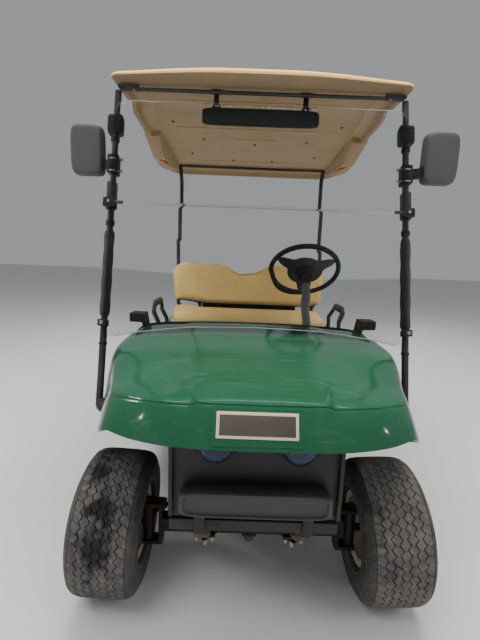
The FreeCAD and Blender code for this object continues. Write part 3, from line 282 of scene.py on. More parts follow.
LOOKS = {
    "green": green_paint(),
    "cream": cream_plastic("cream_plastic", (0.97, 0.6, 0.19), 0.1),
    # the roof's underside and its lip undercut are darker, browner copies of the cream: painted shade
    "under": cream_plastic("cream_under_shade", (0.37, 0.245, 0.118), 0.35),
    "undercut_shade": cream_plastic("cream_undercut_shade", (0.215, 0.15, 0.086), 0.45, 0.2),
    "vinyl": vinyl(),
    "piping": plastic("piping_tan", (0.55, 0.38, 0.17), 0.5, 600),
    "tube": tube_paint(),
    "foam": foam_wrap(),
    "black": plastic("black_plastic", (0.006, 0.006, 0.007), 0.5, dust=0.05),
    "grey": plastic("grey_plastic", (0.034, 0.034, 0.035), 0.46, 380, 0.00035, 0.2, (0.06, 0.06, 0.06)),
    "mirror_shell": plastic("mirror_shell", (0.066, 0.065, 0.064), 0.55, 330, 0.0004, 0.3,
                            (0.12, 0.12, 0.115)),
    "frame": steel("frame_steel", (0.016, 0.016, 0.017), 0.1, 0.5, 0.2, 0.08),
    "spring": steel("spring_steel", (0.085, 0.07, 0.06), 0.6),
    "axle": steel("axle_steel", (0.013, 0.013, 0.015), 0.22, dust=0.07),
    "rim": steel("rim_steel", (0.6, 0.56, 0.47), 0.25, 0.42, 0.35),
    "bolt": steel("bright_steel", (0.55, 0.54, 0.52), 0.25, 0.35, 0.9),
    "column": steel("grey_metal", (0.125, 0.122, 0.128), 0.06, 0.45, 0.3),
    "tread": rubber("tyre_tread", (0.026, 0.025, 0.024), 0.75),
    "tread_wet": rubber("tyre_tread_wet", (0.026, 0.025, 0.024), 0.8, 0.95, 0.545),
    # lighter tread, part real dust and part painted light for the tyre that more light falls on
    "tread_dust_and_light": rubber("tyre_tread_dust_and_light", (0.04, 0.037, 0.034), 0.95, 0.15),
    # near-black rubber for grooves, slots and hollows: painted shade
    "groove": rubber("groove_shade", (0.007, 0.007, 0.007), 0.15),
    "wall": rubber("tyre_wall", (0.024, 0.023, 0.023), 0.45),
    "ring": rubber("tyre_ring", (0.1, 0.098, 0.094), 0.7),
    "grip": rubber("black_rubber", (0.015, 0.015, 0.016), 0.1),
    "wheel_cover": plastic("wheel_cover", (0.062, 0.061, 0.058), 0.5, dust=0.1),
    "mat": rubber("floor_mat", (0.018, 0.018, 0.018), 0.4),
    "battery": plastic("battery_case", (0.025, 0.025, 0.027), 0.5),
    "acrylic": clear_pane(),
    "edge": plastic("acrylic_edge", (0.42, 0.55, 0.47), 0.3, 600, dust=0.1),
    "glass": lamp_glass(),
    "chrome": steel("lamp_bowl", (0.45, 0.48, 0.55), 0.03, 0.15, 1.0, dust=0.1),
    "mirror": mirror_glass(),
    "red": plastic("red_lens", (0.35, 0.01, 0.012), 0.2, 300, 0.0003, dust=0.1),
    "plate": plastic("plate_cream", (0.62, 0.52, 0.34), 0.4, 500),
    "plate_dark": plastic("plate_dark", (0.05, 0.042, 0.033), 0.45, 300),
}
MATS = {name: look.mat for name, look in LOOKS.items()}


# Mesh helpers

def new_object(mesh, name="part"):
    obj = bpy.data.objects.new(name, mesh)
    bpy.context.scene.collection.objects.link(obj)
    return obj


def shade(obj, angle=None):
    """Smooth shading, with edges sharper than an angle kept."""
    mesh = obj.data
    mesh.polygons.foreach_set("use_smooth", [True] * len(mesh.polygons))
    if angle:
        mesh.set_sharp_from_angle(angle=math.radians(angle))
    mesh.update()


def mesh_part(verts, faces, mats, angle=None):
    mesh = bpy.data.meshes.new("part")
    mesh.from_pydata([tuple(v) for v in verts], [], [tuple(f) for f in faces])
    mesh.validate()
    for item in [mats] if isinstance(mats, str) else mats:
        mesh.materials.append(MATS[item])
    obj = new_object(mesh)
    shade(obj, angle)
    return obj


def outward(obj):
    """Turn every face of a closed mesh outward."""
    bm = bmesh.new()
    bm.from_mesh(obj.data)
    bmesh.ops.recalc_face_normals(bm, faces=bm.faces)
    bm.to_mesh(obj.data)
    bm.free()
    return obj


def apply_all(obj):
    """Bake the object's modifiers and its place into its mesh."""
    bpy.context.view_layer.update()
    graph = bpy.context.evaluated_depsgraph_get()
    made, old = bpy.data.meshes.new_from_object(obj.evaluated_get(graph)), obj.data
    obj.modifiers.clear()
    obj.data = made
    bpy.data.meshes.remove(old)
    made.transform(obj.matrix_world)
    obj.matrix_world = Matrix.Identity(4)
    return obj


def join(name, objs, angle):
    """Several meshes as one piece, each keeping its material."""
    mats, verts, faces, slots, smooth = [], [], [], [], []
    for obj in objs:
        apply_all(obj)
        offset = len(verts)
        own = list(obj.data.materials)
        mats += [m for m in own if m not in mats]
        verts += [v.co.copy() for v in obj.data.vertices]
        for p in obj.data.polygons:
            faces.append([i + offset for i in p.vertices])
            slots.append(mats.index(own[p.material_index]))
            smooth.append(p.use_smooth)
        bpy.data.objects.remove(obj)
    mesh = bpy.data.meshes.new(name)
    mesh.from_pydata(verts, [], faces)
    for m in mats:
        mesh.materials.append(m)
    mesh.polygons.foreach_set("material_index", slots)
    mesh.polygons.foreach_set("use_smooth", smooth)
    mesh.set_sharp_from_angle(angle=math.radians(angle))
    return new_object(mesh, name)


def piece(name, parts, replaces=(), body="chassis", angle=40):
    """Hand a list of parts, joined, or a single part to a body of the frame."""
    if isinstance(parts, list):
        obj = join(name, parts, angle)
    else:
        obj = parts
        obj.name = obj.data.name = name
    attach(obj, body)
    if replaces:
        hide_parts(*([replaces] if isinstance(replaces, str) else replaces))
    return obj


def from_bmesh(bm, mat, spin=None, at=None):
    if spin is not None:
        bmesh.ops.rotate(bm, cent=at, matrix=spin, verts=bm.verts)
    bmesh.ops.recalc_face_normals(bm, faces=bm.faces)
    mesh = bpy.data.meshes.new("part")
    bm.to_mesh(mesh)
    bm.free()
    mesh.materials.append(MATS[mat])
    obj = new_object(mesh)
    shade(obj, 40)
    return obj


def box(xs, ys, zs, mat, radius=0.004, steps=3, spin=None, at=None):
    """A block between two places on each axis, with rounded edges, turned about a point where asked."""
    low, high = (Vector(ends) for ends in zip(*(sorted(pair) for pair in (xs, ys, zs))))
    size = high - low
    bm = bmesh.new()
    bmesh.ops.create_cube(bm, size=1)
    bmesh.ops.scale(bm, vec=size, verts=bm.verts)
    bmesh.ops.translate(bm, vec=(high + low) / 2, verts=bm.verts)
    bmesh.ops.bevel(bm, geom=list(bm.edges), offset=min(radius, min(size) * 0.45), segments=steps,
                    profile=0.5, affect="EDGES")
    return from_bmesh(bm, mat, spin, at)


def lathe(profile, mats, origin=(0, 0, 0), axis=X_AXIS, sides=48, angle=40, slots=None):
    """Turn a profile of (radius, height) round an axis through a point."""
    verts, faces, kinds, rings = [], [], [], []
    for r, h in profile:
        count = 1 if r < 1e-7 else sides
        rings.append(list(range(len(verts), len(verts) + count)))
        turns = [2 * math.pi * i / sides for i in range(count)]
        verts += [(r * math.cos(a), r * math.sin(a), h) for a in turns] if count > 1 else [(0, 0, h)]
    for k, (a, b) in enumerate(zip(rings, rings[1:])):
        for i in range(sides):
            j = (i + 1) % sides
            if len(a) == 1 and len(b) == 1:
                continue
            if len(a) == 1:
                faces.append((a[0], b[j], b[i]))
            elif len(b) == 1:
                faces.append((a[i], a[j], b[0]))
            else:
                faces.append((a[i], a[j], b[j], b[i]))
            kinds.append(slots[k] if slots else 0)
    spin = Z_AXIS.rotation_difference(Vector(axis)).to_matrix()
    obj = mesh_part([spin @ Vector(v) + Vector(origin) for v in verts], faces, mats, angle)
    if slots:
        obj.data.polygons.foreach_set("material_index", kinds)
    return outward(obj)


def bar(start, end, radius, mat, sides=20):
    """A round bar between two points, with softened ends."""
    start, end = Vector(start), Vector(end)
    length = (end - start).length
    soft = min(0.0012, radius * 0.4, length * 0.3)
    profile = [(0, 0), (radius - soft, 0), (radius, soft), (radius, length - soft),
               (radius - soft, length), (0, length)]
    return lathe(profile, mat, start, end - start, sides)


def smooth_path(points, steps=6):
    """Catmull-Rom points through the given ones."""
    pts = [Vector(p) for p in points]
    out = []
    for i in range(len(pts) - 1):
        p0, p1, p2, p3 = pts[max(i - 1, 0)], pts[i], pts[i + 1], pts[min(i + 2, len(pts) - 1)]
        for k in range(steps):
            t = k / steps
            out.append(0.5 * ((2 * p1) + (p2 - p0) * t + (2 * p0 - 5 * p1 + 4 * p2 - p3) * t * t
                              + (3 * p1 - p0 - 3 * p2 + p3) * t ** 3))
    return out + pts[-1:]


def grid_faces(rows, cols, wrap=False, flip=False):
    faces = []
    for i in range(rows - 1):
        for j in range(cols if wrap else cols - 1):
            k = (j + 1) % cols
            quad = (i * cols + j, i * cols + k, (i + 1) * cols + k, (i + 1) * cols + j)
            faces.append(quad[::-1] if flip else quad)
    return faces


def end_caps(rows, cols):
    return [tuple(range(cols))[::-1], tuple(range((rows - 1) * cols, rows * cols))]


def closing(rows, cols):
    """Faces from the last row back to the first."""
    last = (rows - 1) * cols
    return [(last + k, last + (k + 1) % cols, (k + 1) % cols, k) for k in range(cols)]


def tube(points, radius, mat, sides=16, closed=False, flat=1.0, up=None):
    """A tube swept along points; flat squeezes its section across the up direction."""
    pts = [Vector(p) for p in points]
    count = len(pts)
    if closed:
        tangents = [(pts[(i + 1) % count] - pts[i - 1]).normalized() for i in range(count)]
    else:
        tangents = [(pts[min(i + 1, count - 1)] - pts[max(i - 1, 0)]).normalized() for i in range(count)]
    side = tangents[0].orthogonal().normalized()
    verts = []
    for i, (p, t) in enumerate(zip(pts, tangents)):
        side = (side - t * side.dot(t) if up is None else t.cross(up)).normalized()
        other = t.cross(side)
        r = radius(i / (count - 1)) if callable(radius) else radius
        for k in range(sides):
            a = 2 * math.pi * k / sides
            verts.append(p + side * (r * math.cos(a)) + other * (r * flat * math.sin(a)))
    ends = closing(count, sides) if closed else end_caps(count, sides)
    return mesh_part(verts, grid_faces(count, sides, wrap=True) + ends, mat, 50)


def loft(centre, half_width, half_height, rows, mat, up=Z_AXIS, out=Y_AXIS, n=48):
    """Rounded-rectangle sections; a row is a shift, two shares of the halves and a corner power."""
    verts = []
    for shift, wide, high, power in rows:
        for k in range(n):
            a = 2 * math.pi * k / n
            across, along = (math.copysign(abs(c) ** (2.0 / power), c) for c in (math.cos(a), math.sin(a)))
            verts.append(Vector(centre) + out * shift + X_AXIS * (across * (half_width * wide))
                         + up * (along * (half_height * high)))
    return outward(mesh_part(verts, grid_faces(len(rows), n, wrap=True) + end_caps(len(rows), n), mat, 45))


def arc(cx, cy, r, start, stop, n=9):
    return [(cx + r * math.cos(math.radians(a)), cy + r * math.sin(math.radians(a)))
            for a in np.linspace(start, stop, n)]


def mirrored(line):
    """A line of (x, ...) points that starts at the middle, with its other half put before it."""
    return [(-p[0], *p[1:]) for p in line[:0:-1]] + list(line)


def pchip(xs, ys, x):
    """Monotone cubic interpolation."""
    xs, ys, x = np.asarray(xs, float), np.asarray(ys, float), np.asarray(x, float)
    h = np.diff(xs)
    d = np.diff(ys) / h
    m = np.zeros_like(ys)
    for i in range(1, len(ys) - 1):
        if d[i - 1] * d[i] > 0:
            w1, w2 = 2 * h[i] + h[i - 1], h[i] + 2 * h[i - 1]
            m[i] = (w1 + w2) / (w1 / d[i - 1] + w2 / d[i])
    m[0], m[-1] = d[0], d[-1]
    k = np.clip(np.searchsorted(xs, x) - 1, 0, len(xs) - 2)
    t = np.clip((x - xs[k]) / h[k], 0, 1)
    return ((2 * t**3 - 3 * t**2 + 1) * ys[k] + (t**3 - 2 * t**2 + t) * h[k] * m[k]
            + (-2 * t**3 + 3 * t**2) * ys[k + 1] + (t**3 - t**2) * h[k] * m[k + 1])


def blend_step(x, low, high):
    t = np.clip((np.asarray(x, float) - low) / (high - low), 0, 1)
    return t * t * (3 - 2 * t)


def modify(obj, kind, **values):
    made = obj.modifiers.new(kind, kind)
    for key, value in values.items():
        setattr(made, key, value)
    return made


def dress(node, mat, bevel=0.003, segments=2):
    """Give a CAD node its material and softened edges."""
    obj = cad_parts[node]
    obj.data.materials.clear()
    obj.data.materials.append(MATS[mat])
    obj.data.polygons.foreach_set("material_index", [0] * len(obj.data.polygons))
    if bevel:
        modify(obj, "WELD", merge_threshold=0.00002)
        modify(obj, "DECIMATE", decimate_type="DISSOLVE", angle_limit=math.radians(0.6))
        modify(obj, "BEVEL", width=bevel, segments=segments, limit_method="ANGLE",
               angle_limit=math.radians(32), harden_normals=False)


# Cowl

# the lip in plan: place, half width
RIM_LINE = np.array(milli(
    (-430, 0), (-428.5, 100), (-418, 192), (-387, 288), (-347, 349), (-302, 399), (-262, 419),
    (-130, 459), (0, 505), (150, 526), (420, 526)))
# the crease above it: place, half width, height
CREASE_LINE = np.array(milli(
    (-388, 0, 809), (-386.5, 90, 808.5), (-376, 172, 806), (-354, 252, 802), (-314, 314, 792),
    (-273, 364, 780), (-238, 390, 768), (-114, 438, 721), (10, 484, 674), (150, 523, 645),
    (420, 525, 640)))
# the lower edge: place, height
CUT = np.array(milli((-430, 725), (-330, 716), (-262, 676), (-200, 647), (0, 553), (131, 543),
                     (262, 503), (330, 360), (420, 340)))
# sections at the dash and at the nose: share of the half width, share of the fall to the crease
DASH_SECTION = np.array(milli(
    (0, 0), (250, 6), (500, 20), (680, 40), (785, 68), (850, 105), (898, 170), (930, 265), (954, 400),
    (974, 600), (989, 810), (1000, 1000)))
NOSE_SECTION = np.array(milli(
    (0, 0), (250, 40), (500, 130), (700, 300), (820, 480), (900, 650), (940, 755), (965, 830),
    (980, 880), (990, 925), (995, 960), (1000, 1000)))


def along_rim(line, u):
    """Columns of a line for u from 0 at the middle of the nose to 1 at the dash."""
    ys, xs = RIM_LINE.T
    us = np.concatenate([[0], np.cumsum(np.hypot(np.diff(xs), np.diff(ys)))])
    us /= us[-1]
    return [pchip(us, column, u) for column in line.T]


def along_section(section, stop):
    at = np.linspace(0, 1, len(section))
    return pchip(at, section[:, 0], stop), pchip(at, section[:, 1], stop)


def panel_rise(x, y):
    """How far the cowl's raised middle stands up, with a thin ridge along its sides."""
    edge = 0.15 + (y + 0.385) * 0.158
    raised = 1 - blend_step(x, edge - 0.002, edge + 0.008)
    ridge = np.exp(-((x - edge - 0.001) / 0.0045) ** 2)
    return (0.0062 * raised + 0.0034 * ridge) * (1 - blend_step(y, 0.38, 0.4))


def cowl_rows():
    """Lines across the half cowl, from its spine over the crease and the lip to the folded edge."""
    side = np.linspace(0, 1, 130)
    rim_y, rim_x = along_rim(RIM_LINE, side)
    crease_y, crease_x, crease_z = along_rim(CREASE_LINE, side)
    spine_y = np.where(crease_y > -0.12, crease_y, -0.12 + (crease_y + 0.12) * 0.62)
    spine_z = pchip([-0.43, -0.385, -0.34, -0.25, -0.13, 0, 0.15, 0.42],
                    [0.8, 0.811, 0.819, 0.829, 0.839, 0.847, 0.853, 0.858], spine_y)
    cut_z = np.interp(rim_y, CUT[:, 0], CUT[:, 1])
    front = 1 - blend_step(rim_y, -0.36, -0.02)
    rows = []
    for stop in np.concatenate([np.linspace(0, 0.2, 9)[:-1], np.linspace(0.2, 0.45, 48)[:-1],
                                np.linspace(0.45, 1.0, 56)]):
        dash_s, dash_fall = along_section(DASH_SECTION, stop)
        nose_s, nose_fall = along_section(NOSE_SECTION, stop)
        s = dash_s * (1 - front) + nose_s * front
        fall = dash_fall * (1 - front) + nose_fall * front
        x = crease_x * s
        y = spine_y + (crease_y - spine_y) * s
        z = spine_z - (spine_z - crease_z) * fall
        z = z + panel_rise(x, y)
        for line_y, rise in ((0.372, 0.0024), (0.318, 0.0018), (0.25, 0.0009)):
            z = z + rise * np.exp(-((y - line_y) / 0.0045) ** 2) * blend_step(0.995 - s, 0, 0.1)
        rows.append((x, y, z))
    lip_in = 0.0022
    for t in (0.004, 0.02, 0.045, 0.1, 0.25, 0.42, 0.6, 0.78, 0.92, 0.97):
        out = t ** 0.9
        x = crease_x + (rim_x - crease_x) * out
        y = crease_y + (rim_y - crease_y) * out
        z = crease_z + (cut_z - crease_z) * t
        bulge = 0.004 * math.sin(math.pi * t) - (lip_in if t < 0.03 else 0.0)
        curl = 0.014 * max(0.0, (t - 0.72) / 0.28) ** 2
        z = z + panel_rise(crease_x, crease_y) * (1 - t) ** 2
        rows.append((x + (bulge - curl) * (1 - front), y - bulge * front, z))
    for inward, down in ((0.0, 0.0), (0.0035, 0.0025), (0.009, 0.0018), (0.013, -0.003)):
        shrink = 1 - inward / np.hypot(rim_x, rim_y - 0.42).clip(0.3)
        ahead = blend_step(-rim_y, -0.3, 0.36)
        rows.append(((rim_x - 0.014 * (1 - front)) * shrink, rim_y + inward * ahead, cut_z - down))
    return [mirrored(list(zip(*row))) for row in rows]


COWL_HALF, COWL_END = 0.526, 0.418
COWL_TOP, COWL_FALL = 0.858, 0.218
# a face higher than this is on top of the cowl
SURELY_TOP = 0.83


def cowl():
    rows = cowl_rows()
    verts = [(x, y + FRONT_AXLE, z) for row in rows for x, y, z in row]
    obj = mesh_part(verts, grid_faces(len(rows), len(rows[0])), "green")
    bm = bmesh.new()
    bm.from_mesh(obj.data)
    bmesh.ops.remove_doubles(bm, verts=bm.verts, dist=0.0002)
    bmesh.ops.recalc_face_normals(bm, faces=bm.faces)
    if sum(f.normal.z for f in bm.faces if f.calc_center_median().z > SURELY_TOP) < 0:
        bmesh.ops.reverse_faces(bm, faces=bm.faces)
    bm.to_mesh(obj.data)
    bm.free()
    modify(obj, "SOLIDIFY", thickness=0.004, offset=-1.0, use_even_offset=False)
    apply_all(obj)
    shade(obj, 38)
    piece("cowl_shell", obj, "cowl")
    shares, falls = along_section(DASH_SECTION, np.linspace(0, 1, 60))
    crown = [(COWL_HALF * s, COWL_TOP - COWL_FALL * fall + 0.0015) for s, fall in zip(shares, falls)]
    crown += [(COWL_HALF + 0.0005, 0.5), (COWL_HALF + 0.0005, 0.36)]
    line = [(x, COWL_END + FRONT_AXLE, z) for x, z in mirrored(crown)]
    piece("cowl_edge_trim", tube(line, 0.0045, "black", 10))
    seal = [(x * 0.974, COWL_END + 0.0002 + FRONT_AXLE, z - 0.012 if z > 0.5 else z) for x, y, z in line]
    piece("cowl_edge_seal", tube(seal, 0.015, "black", 10, flat=0.08, up=Y_AXIS))


def name_plate():
    """A bare plate with a pale border, set in a shallow recess of the band."""
    top, low = vec(0, -0.397 + FRONT_AXLE, 0.796), vec(0, -0.4245 + FRONT_AXLE, 0.738)
    up = (top - low).normalized()
    out = (-Y_AXIS - up * -Y_AXIS.dot(up)).normalized()
    centre = (top + low) / 2 + vec(-0.012) + out * 0.004 + up * 0.0085
    spin = Matrix((X_AXIS, up, out)).transposed().to_4x4()
    parts = []
    for w, h, t, mat, lift, down in ((0.202, 0.076, 0.004, "green", -0.0024, 0.0068),
                                     (0.181, 0.0575, 0.004, "plate", 0.0, 0.0),
                                     (0.167, 0.0445, 0.0018, "plate_dark", 0.0022, 0.0)):
        obj = box(about(0, w / 2), about(0, h / 2), about(0, t / 2), mat, t * 0.45)
        obj.matrix_world = Matrix.Translation(centre + out * lift - up * down) @ spin
        parts.append(obj)
    piece("name_plate", parts)


# Roof

ROOF_HALF, ROOF_LENGTH = 0.577, 1.416
ROOF_Y, ROOF_Z = 0.392 + FRONT_AXLE, 1.752
ROOF_SLOPE = math.radians(1.2)
ROOF_POINTS = 220
# from the middle of the top over the rolled lip to the middle of the underside: inset, height
ROOF_PROFILE = milli(
    (560, 75), (460, 74.9), (380, 74.8), (300, 74.5), (220, 73.8), (150, 72.2), (100, 70), (65, 67.2),
    (40, 64), (22, 60), (10, 55), (2.5, 48.5), (0, 42), (1.2, 36), (5.5, 28), (12.5, 17), (20, 7.5),
    (26, 2), (31.5, 0.4), (37, 1.6), (42, 8), (47, 18), (53, 23.5), (62, 25.5), (90, 26.5), (96, 22.5),
    (108, 21.5), (114, 26.5), (170, 27.5), (220, 28), (300, 28.5), (380, 28.5), (460, 28.5), (560, 28.5))
# profile rows where the underside's painted shade begins, and where the darker painted shade of the lip's
# undercut ends
UNDER_FROM, LIP_TO = 13, 18


def roof_outline(inset):
    """The roof's plan as a closed loop with rounded corners, bowed in front."""
    h, back, front = ROOF_HALF - inset, ROOF_LENGTH - inset, inset - 0.026
    corner = min(max(0.034 - inset * 0.3, 0.012), 0.9 * h)
    rear = min(max(0.105 - inset * 0.5, 0.04), 0.9 * h)
    y_side = front + 0.03 * ((h - corner) / h) ** 2
    loop = [(x, front + 0.03 * (x / h) ** 2) for x in np.linspace(-h + corner, h - corner, 41)]
    loop += arc(h - corner, y_side + corner, corner, -90, 0)[1:] + [(h, back - rear)]
    loop += arc(h - rear, back - rear, rear, 0, 90)[1:]
    loop += [(x, back) for x in np.linspace(h - rear, -h + rear, 20)[1:-1]]
    loop += arc(-h + rear, back - rear, rear, 90, 180) + [(-h, y_side + corner)]
    loop += arc(-h + corner, y_side + corner, corner, 180, 270)[1:-1]
    closed = np.array(loop + loop[:1])
    at = np.concatenate([[0], np.cumsum(np.hypot(*np.diff(closed, axis=0).T))])
    want = np.linspace(0, at[-1], ROOF_POINTS, endpoint=False)
    return zip(np.interp(want, at, closed[:, 0]), np.interp(want, at, closed[:, 1]))


def roof():
    """A moulded shell with a rolled lip all round, a low crown and a ribbed underside."""
    verts, n = [], ROOF_POINTS
    for inset, z in ROOF_PROFILE:
        for x, y in roof_outline(inset):
            low = 1 - 0.3 * blend_step(abs(x), 0.15, 0.6) * blend_step(0.35 - y, -0.3, 0.5)
            low = low * (1 - 0.16 * blend_step(y, 0.3, 1.4))
            verts.append([x, y, z * low if z > 0.031 or inset < 0.03 else z])
    faces = grid_faces(len(ROOF_PROFILE), n, wrap=True, flip=True)
    top, bottom = end_caps(len(ROOF_PROFILE), n)
    shell = mesh_part(verts, faces + [top[::-1], bottom[::-1]], ["cream", "under", "undercut_shade"])
    # the underside gets a darker brown cream and the lip's undercut a darker one still: painted shade
    for index, face in enumerate(shell.data.polygons):
        if index >= UNDER_FROM * n and index != len(faces):
            face.material_index = 2 if index < LIP_TO * n else 1
    outward(shell)
    for v in shell.data.vertices:
        x, y, z = v.co
        if z > 0.055:
            v.co.z += 0.0015 * max(0.0, 1 - (x / 0.5) ** 2) * max(0.0, 1 - ((y - 0.7) / 0.75) ** 2)
    shade(shell, 50)
    parts = [shell]
    # ribs and boss in the darker underside colour, painted shade
    for y, reach in ((0.24, 0.36), (0.6, 0.4), (1.16, 0.34)):
        parts.append(box((-reach, reach), about(y, 0.013), (0.0255, 0.034), "under", 0.005))
    parts.append(box((-0.11, 0.11), (0.74, 0.9), (0.0255, 0.034), "under", 0.005))
    parts += [pod(side) for side in SIDES]
    whole = piece("roof_dressed", parts, "roof", angle=42)
    whole.data.transform(Matrix.Translation((0, ROOF_Y, ROOF_Z)) @ Matrix.Rotation(-ROOF_SLOPE, 4, "X"))
    bolts = []
    for x, y in ((-0.27, 0.28), (0.27, 0.28), (-0.27, 0.74), (0.27, 0.74), (0, 0.36), (0, 0.8),
                 (-0.36, 1.0), (0.36, 1.0), (-0.12, 1.1), (0.12, 1.1), (-0.4, 0.5), (0.4, 0.5)):
        p = vec(x, y + ROOF_Y, ROOF_Z + 0.0215 - y * math.sin(ROOF_SLOPE))
        bolts.append(bar(p, p - vec(z=0.005), 0.0075, "black", 6))
    piece("roof_bolts", bolts)
    plates = []
    for side in SIDES:
        plates.append(box((side * 0.468, side * 0.546), (FRONT_AXLE + 0.402, FRONT_AXLE + 0.446),
                          (1.7375, 1.7485), "black", 0.003))
        plates.append(bar((side * 0.49, FRONT_AXLE + 0.424, 1.7345),
                          (side * 0.49, FRONT_AXLE + 0.424, 1.738), 0.007, "bolt", 6))
    piece("roof_corner_plates", plates)


def pod(side):
    """A grip pod under a rear corner of the roof, deepest in front, with a diamond-shaped opening."""
    outer, inner = ROOF_HALF - 0.004, ROOF_HALF - 0.092
    front = ROOF_LENGTH - 0.75
    ys = (front, front + 0.11, front + 0.2, front + 0.33, ROOF_LENGTH - 0.39, ROOF_LENGTH - 0.25,
          ROOF_LENGTH - 0.11)
    zs = (0.004, -0.018, -0.04, -0.0445, -0.0435, -0.022, 0.003)
    gx, gy = ROOF_HALF - 0.05, front + 0.265
    bm = bmesh.new()
    rows = []
    for y, z in zip(ys, zs):
        wall = inner + 0.02 * min(1.0, (0.03 - z) / 0.07)
        rows.append([bm.verts.new(v) for v in (
            (inner - 0.006, y, 0.03), (wall, y, z + 0.006), (wall + 0.008, y, z),
            (outer - 0.008, y, z), (outer - 0.002, y, z + 0.006), (outer - 0.004, y, 0.03))])
    faces = [rows[0][::-1], rows[-1]]
    for one, two in zip(rows, rows[1:]):
        for i in range(6):
            j = (i + 1) % 6
            if one is not rows[2] or i != 2:
                faces.append((one[i], one[j], two[j], two[i]))
    hole = ((gx - 0.022, gy), (gx, gy - 0.042), (gx + 0.022, gy), (gx, gy + 0.042))
    low = [bm.verts.new((x, y, -0.0425)) for x, y in hole]
    top = [bm.verts.new((x + 0.006 * math.copysign(1, x - gx), y, 0.022)) for x, y in hole]
    a, b, c, d = rows[2][2], rows[2][3], rows[3][3], rows[3][2]
    faces += [(a, b, low[2], low[1]), (a, low[1], low[0], d), (d, low[0], low[3]), (d, low[3], c),
              (c, low[3], low[2]), (c, low[2], b), top]
    faces += [(low[i - 1], low[i], top[i], top[i - 1]) for i in range(4)]
    for face in faces:
        bm.faces.new(face)
    bmesh.ops.recalc_face_normals(bm, faces=bm.faces)
    if side < 0:
        bmesh.ops.scale(bm, vec=(-1, 1, 1), verts=bm.verts)
    # the pod takes the underside's darker colour, painted shade, and the walls of its opening the plain cream
    obj = from_bmesh(bm, "under")
    obj.data.materials.append(MATS["cream"])
    for face in obj.data.polygons:
        x, y, z = face.center
        if z < 0 and abs(abs(x) - gx) < 0.03 and abs(y - gy) < 0.045 and abs(face.normal.z) < 0.5:
            face.material_index = 1
    return obj


# Wheels

# half section of the tyre from the tread's middle to the bead: across, radius
TYRE_PROFILE = milli(
    (0, 228.5), (30, 228.2), (60, 227.2), (74, 225.5), (84, 222), (92, 216), (98.5, 206), (103.5, 193),
    (106.8, 179), (107.8, 165), (107, 153), (104.5, 142), (100.5, 133), (96, 127), (90, 123.5),
    (84.5, 122.5))
RIM_RING = milli((131.5, 99), (134, 101.6), (137.5, 103.6), (139.5, 103.4), (139.5, 101.5))
WALL_RING = milli((185, 105.2), (186, 106.8), (189, 106.2), (190, 104))
BARREL = milli(
    (97, -83), (118.5, -87.5), (119.5, -86), (118, -83.5), (100.5, -79), (100, -60), (96.5, -45),
    (96.5, 30), (100, 45), (100.5, 79), (118, 83.5), (119.5, 86), (118.5, 87.5), (97.5, 83),
    (95.5, 50), (92.5, 35), (92.5, -40), (96.5, -55), (97, -83))
DISC = milli(
    (92.5, 20), (88, 10), (80, 8.5), (66, 18), (56, 21), (36, 14), (30, 14.5), (30, 8.5), (36, 8),
    (56, 15), (66, 12), (80, 2.5), (92.5, 4.5))
HUB = milli((0, 40), (18, 39.5), (24, 36), (26.5, 28), (30, 20), (32, 18), (32, -38), (13.5, -39.5))
TREAD_LINES = (-0.0835, -0.0575, -0.0345, -0.0115, 0.0115, 0.0345, 0.0575, 0.0835)
TEETH, CUTS, WAVE, GROOVE_HALF = 50, 8, 0.0055, 0.0017
GROOVE_DEPTH, BLOCK_DEPTH = 0.0062, 0.0072


def facing(profile, side):
    return [(r, side * h) for r, h in profile]


def groove(index, turn):
    """Middle of one zigzag groove; the outermost two run straight."""
    if index in (0, len(TREAD_LINES) - 1):
        return TREAD_LINES[index]
    t = (turn * TEETH + index * 0.5) % 1.0
    saw = 1 - 2 * t / 0.625 if t < 0.625 else -1 + 2 * (t - 0.625) / 0.375
    return TREAD_LINES[index] + WAVE * saw


def tread_blocks():
    """Sawtooth blocks of tread in rings between the grooves."""
    across, radii = zip(*TYRE_PROFILE)
    verts, faces = [], []
    for b in range(len(TREAD_LINES) - 1):
        lean = (0.42 if b % 2 else -0.42) / TEETH
        for k in range(TEETH):
            start, span, base = (k + 0.5 * (b % 2) + 0.035) / TEETH, 0.93 / TEETH, len(verts)
            for depth, shares in ((0.0, (0.0, 0.5, 1.0)), (BLOCK_DEPTH, (0.0, 1.0))):
                for i in range(CUTS + 1):
                    turn = start + span * i / CUTS
                    left = groove(b, turn - lean / 2) + GROOVE_HALF
                    right = groove(b + 1, turn + lean / 2) - GROOVE_HALF
                    for f in shares:
                        x = left + (right - left) * f
                        r = np.interp(abs(x), across, radii) - depth
                        a = 2 * math.pi * (turn + lean * (f - 0.5))
                        verts.append((x, r * math.sin(a), r * math.cos(a)))
            low = base + 3 * (CUTS + 1)
            for i in range(CUTS):
                m, n = base + i * 3, low + i * 2
                faces += [(m, m + 1, m + 4, m + 3), (m + 1, m + 2, m + 5, m + 4),
                          (m, m + 3, n + 2, n), (m + 2, n + 1, n + 3, m + 5)]
            faces.append((base, low, low + 1, base + 2, base + 1))
            m, n = base + 3 * CUTS, low + 2 * CUTS
            faces.append((m, m + 1, m + 2, n + 1, n))
    return outward(mesh_part(verts, faces, "tread", 30))


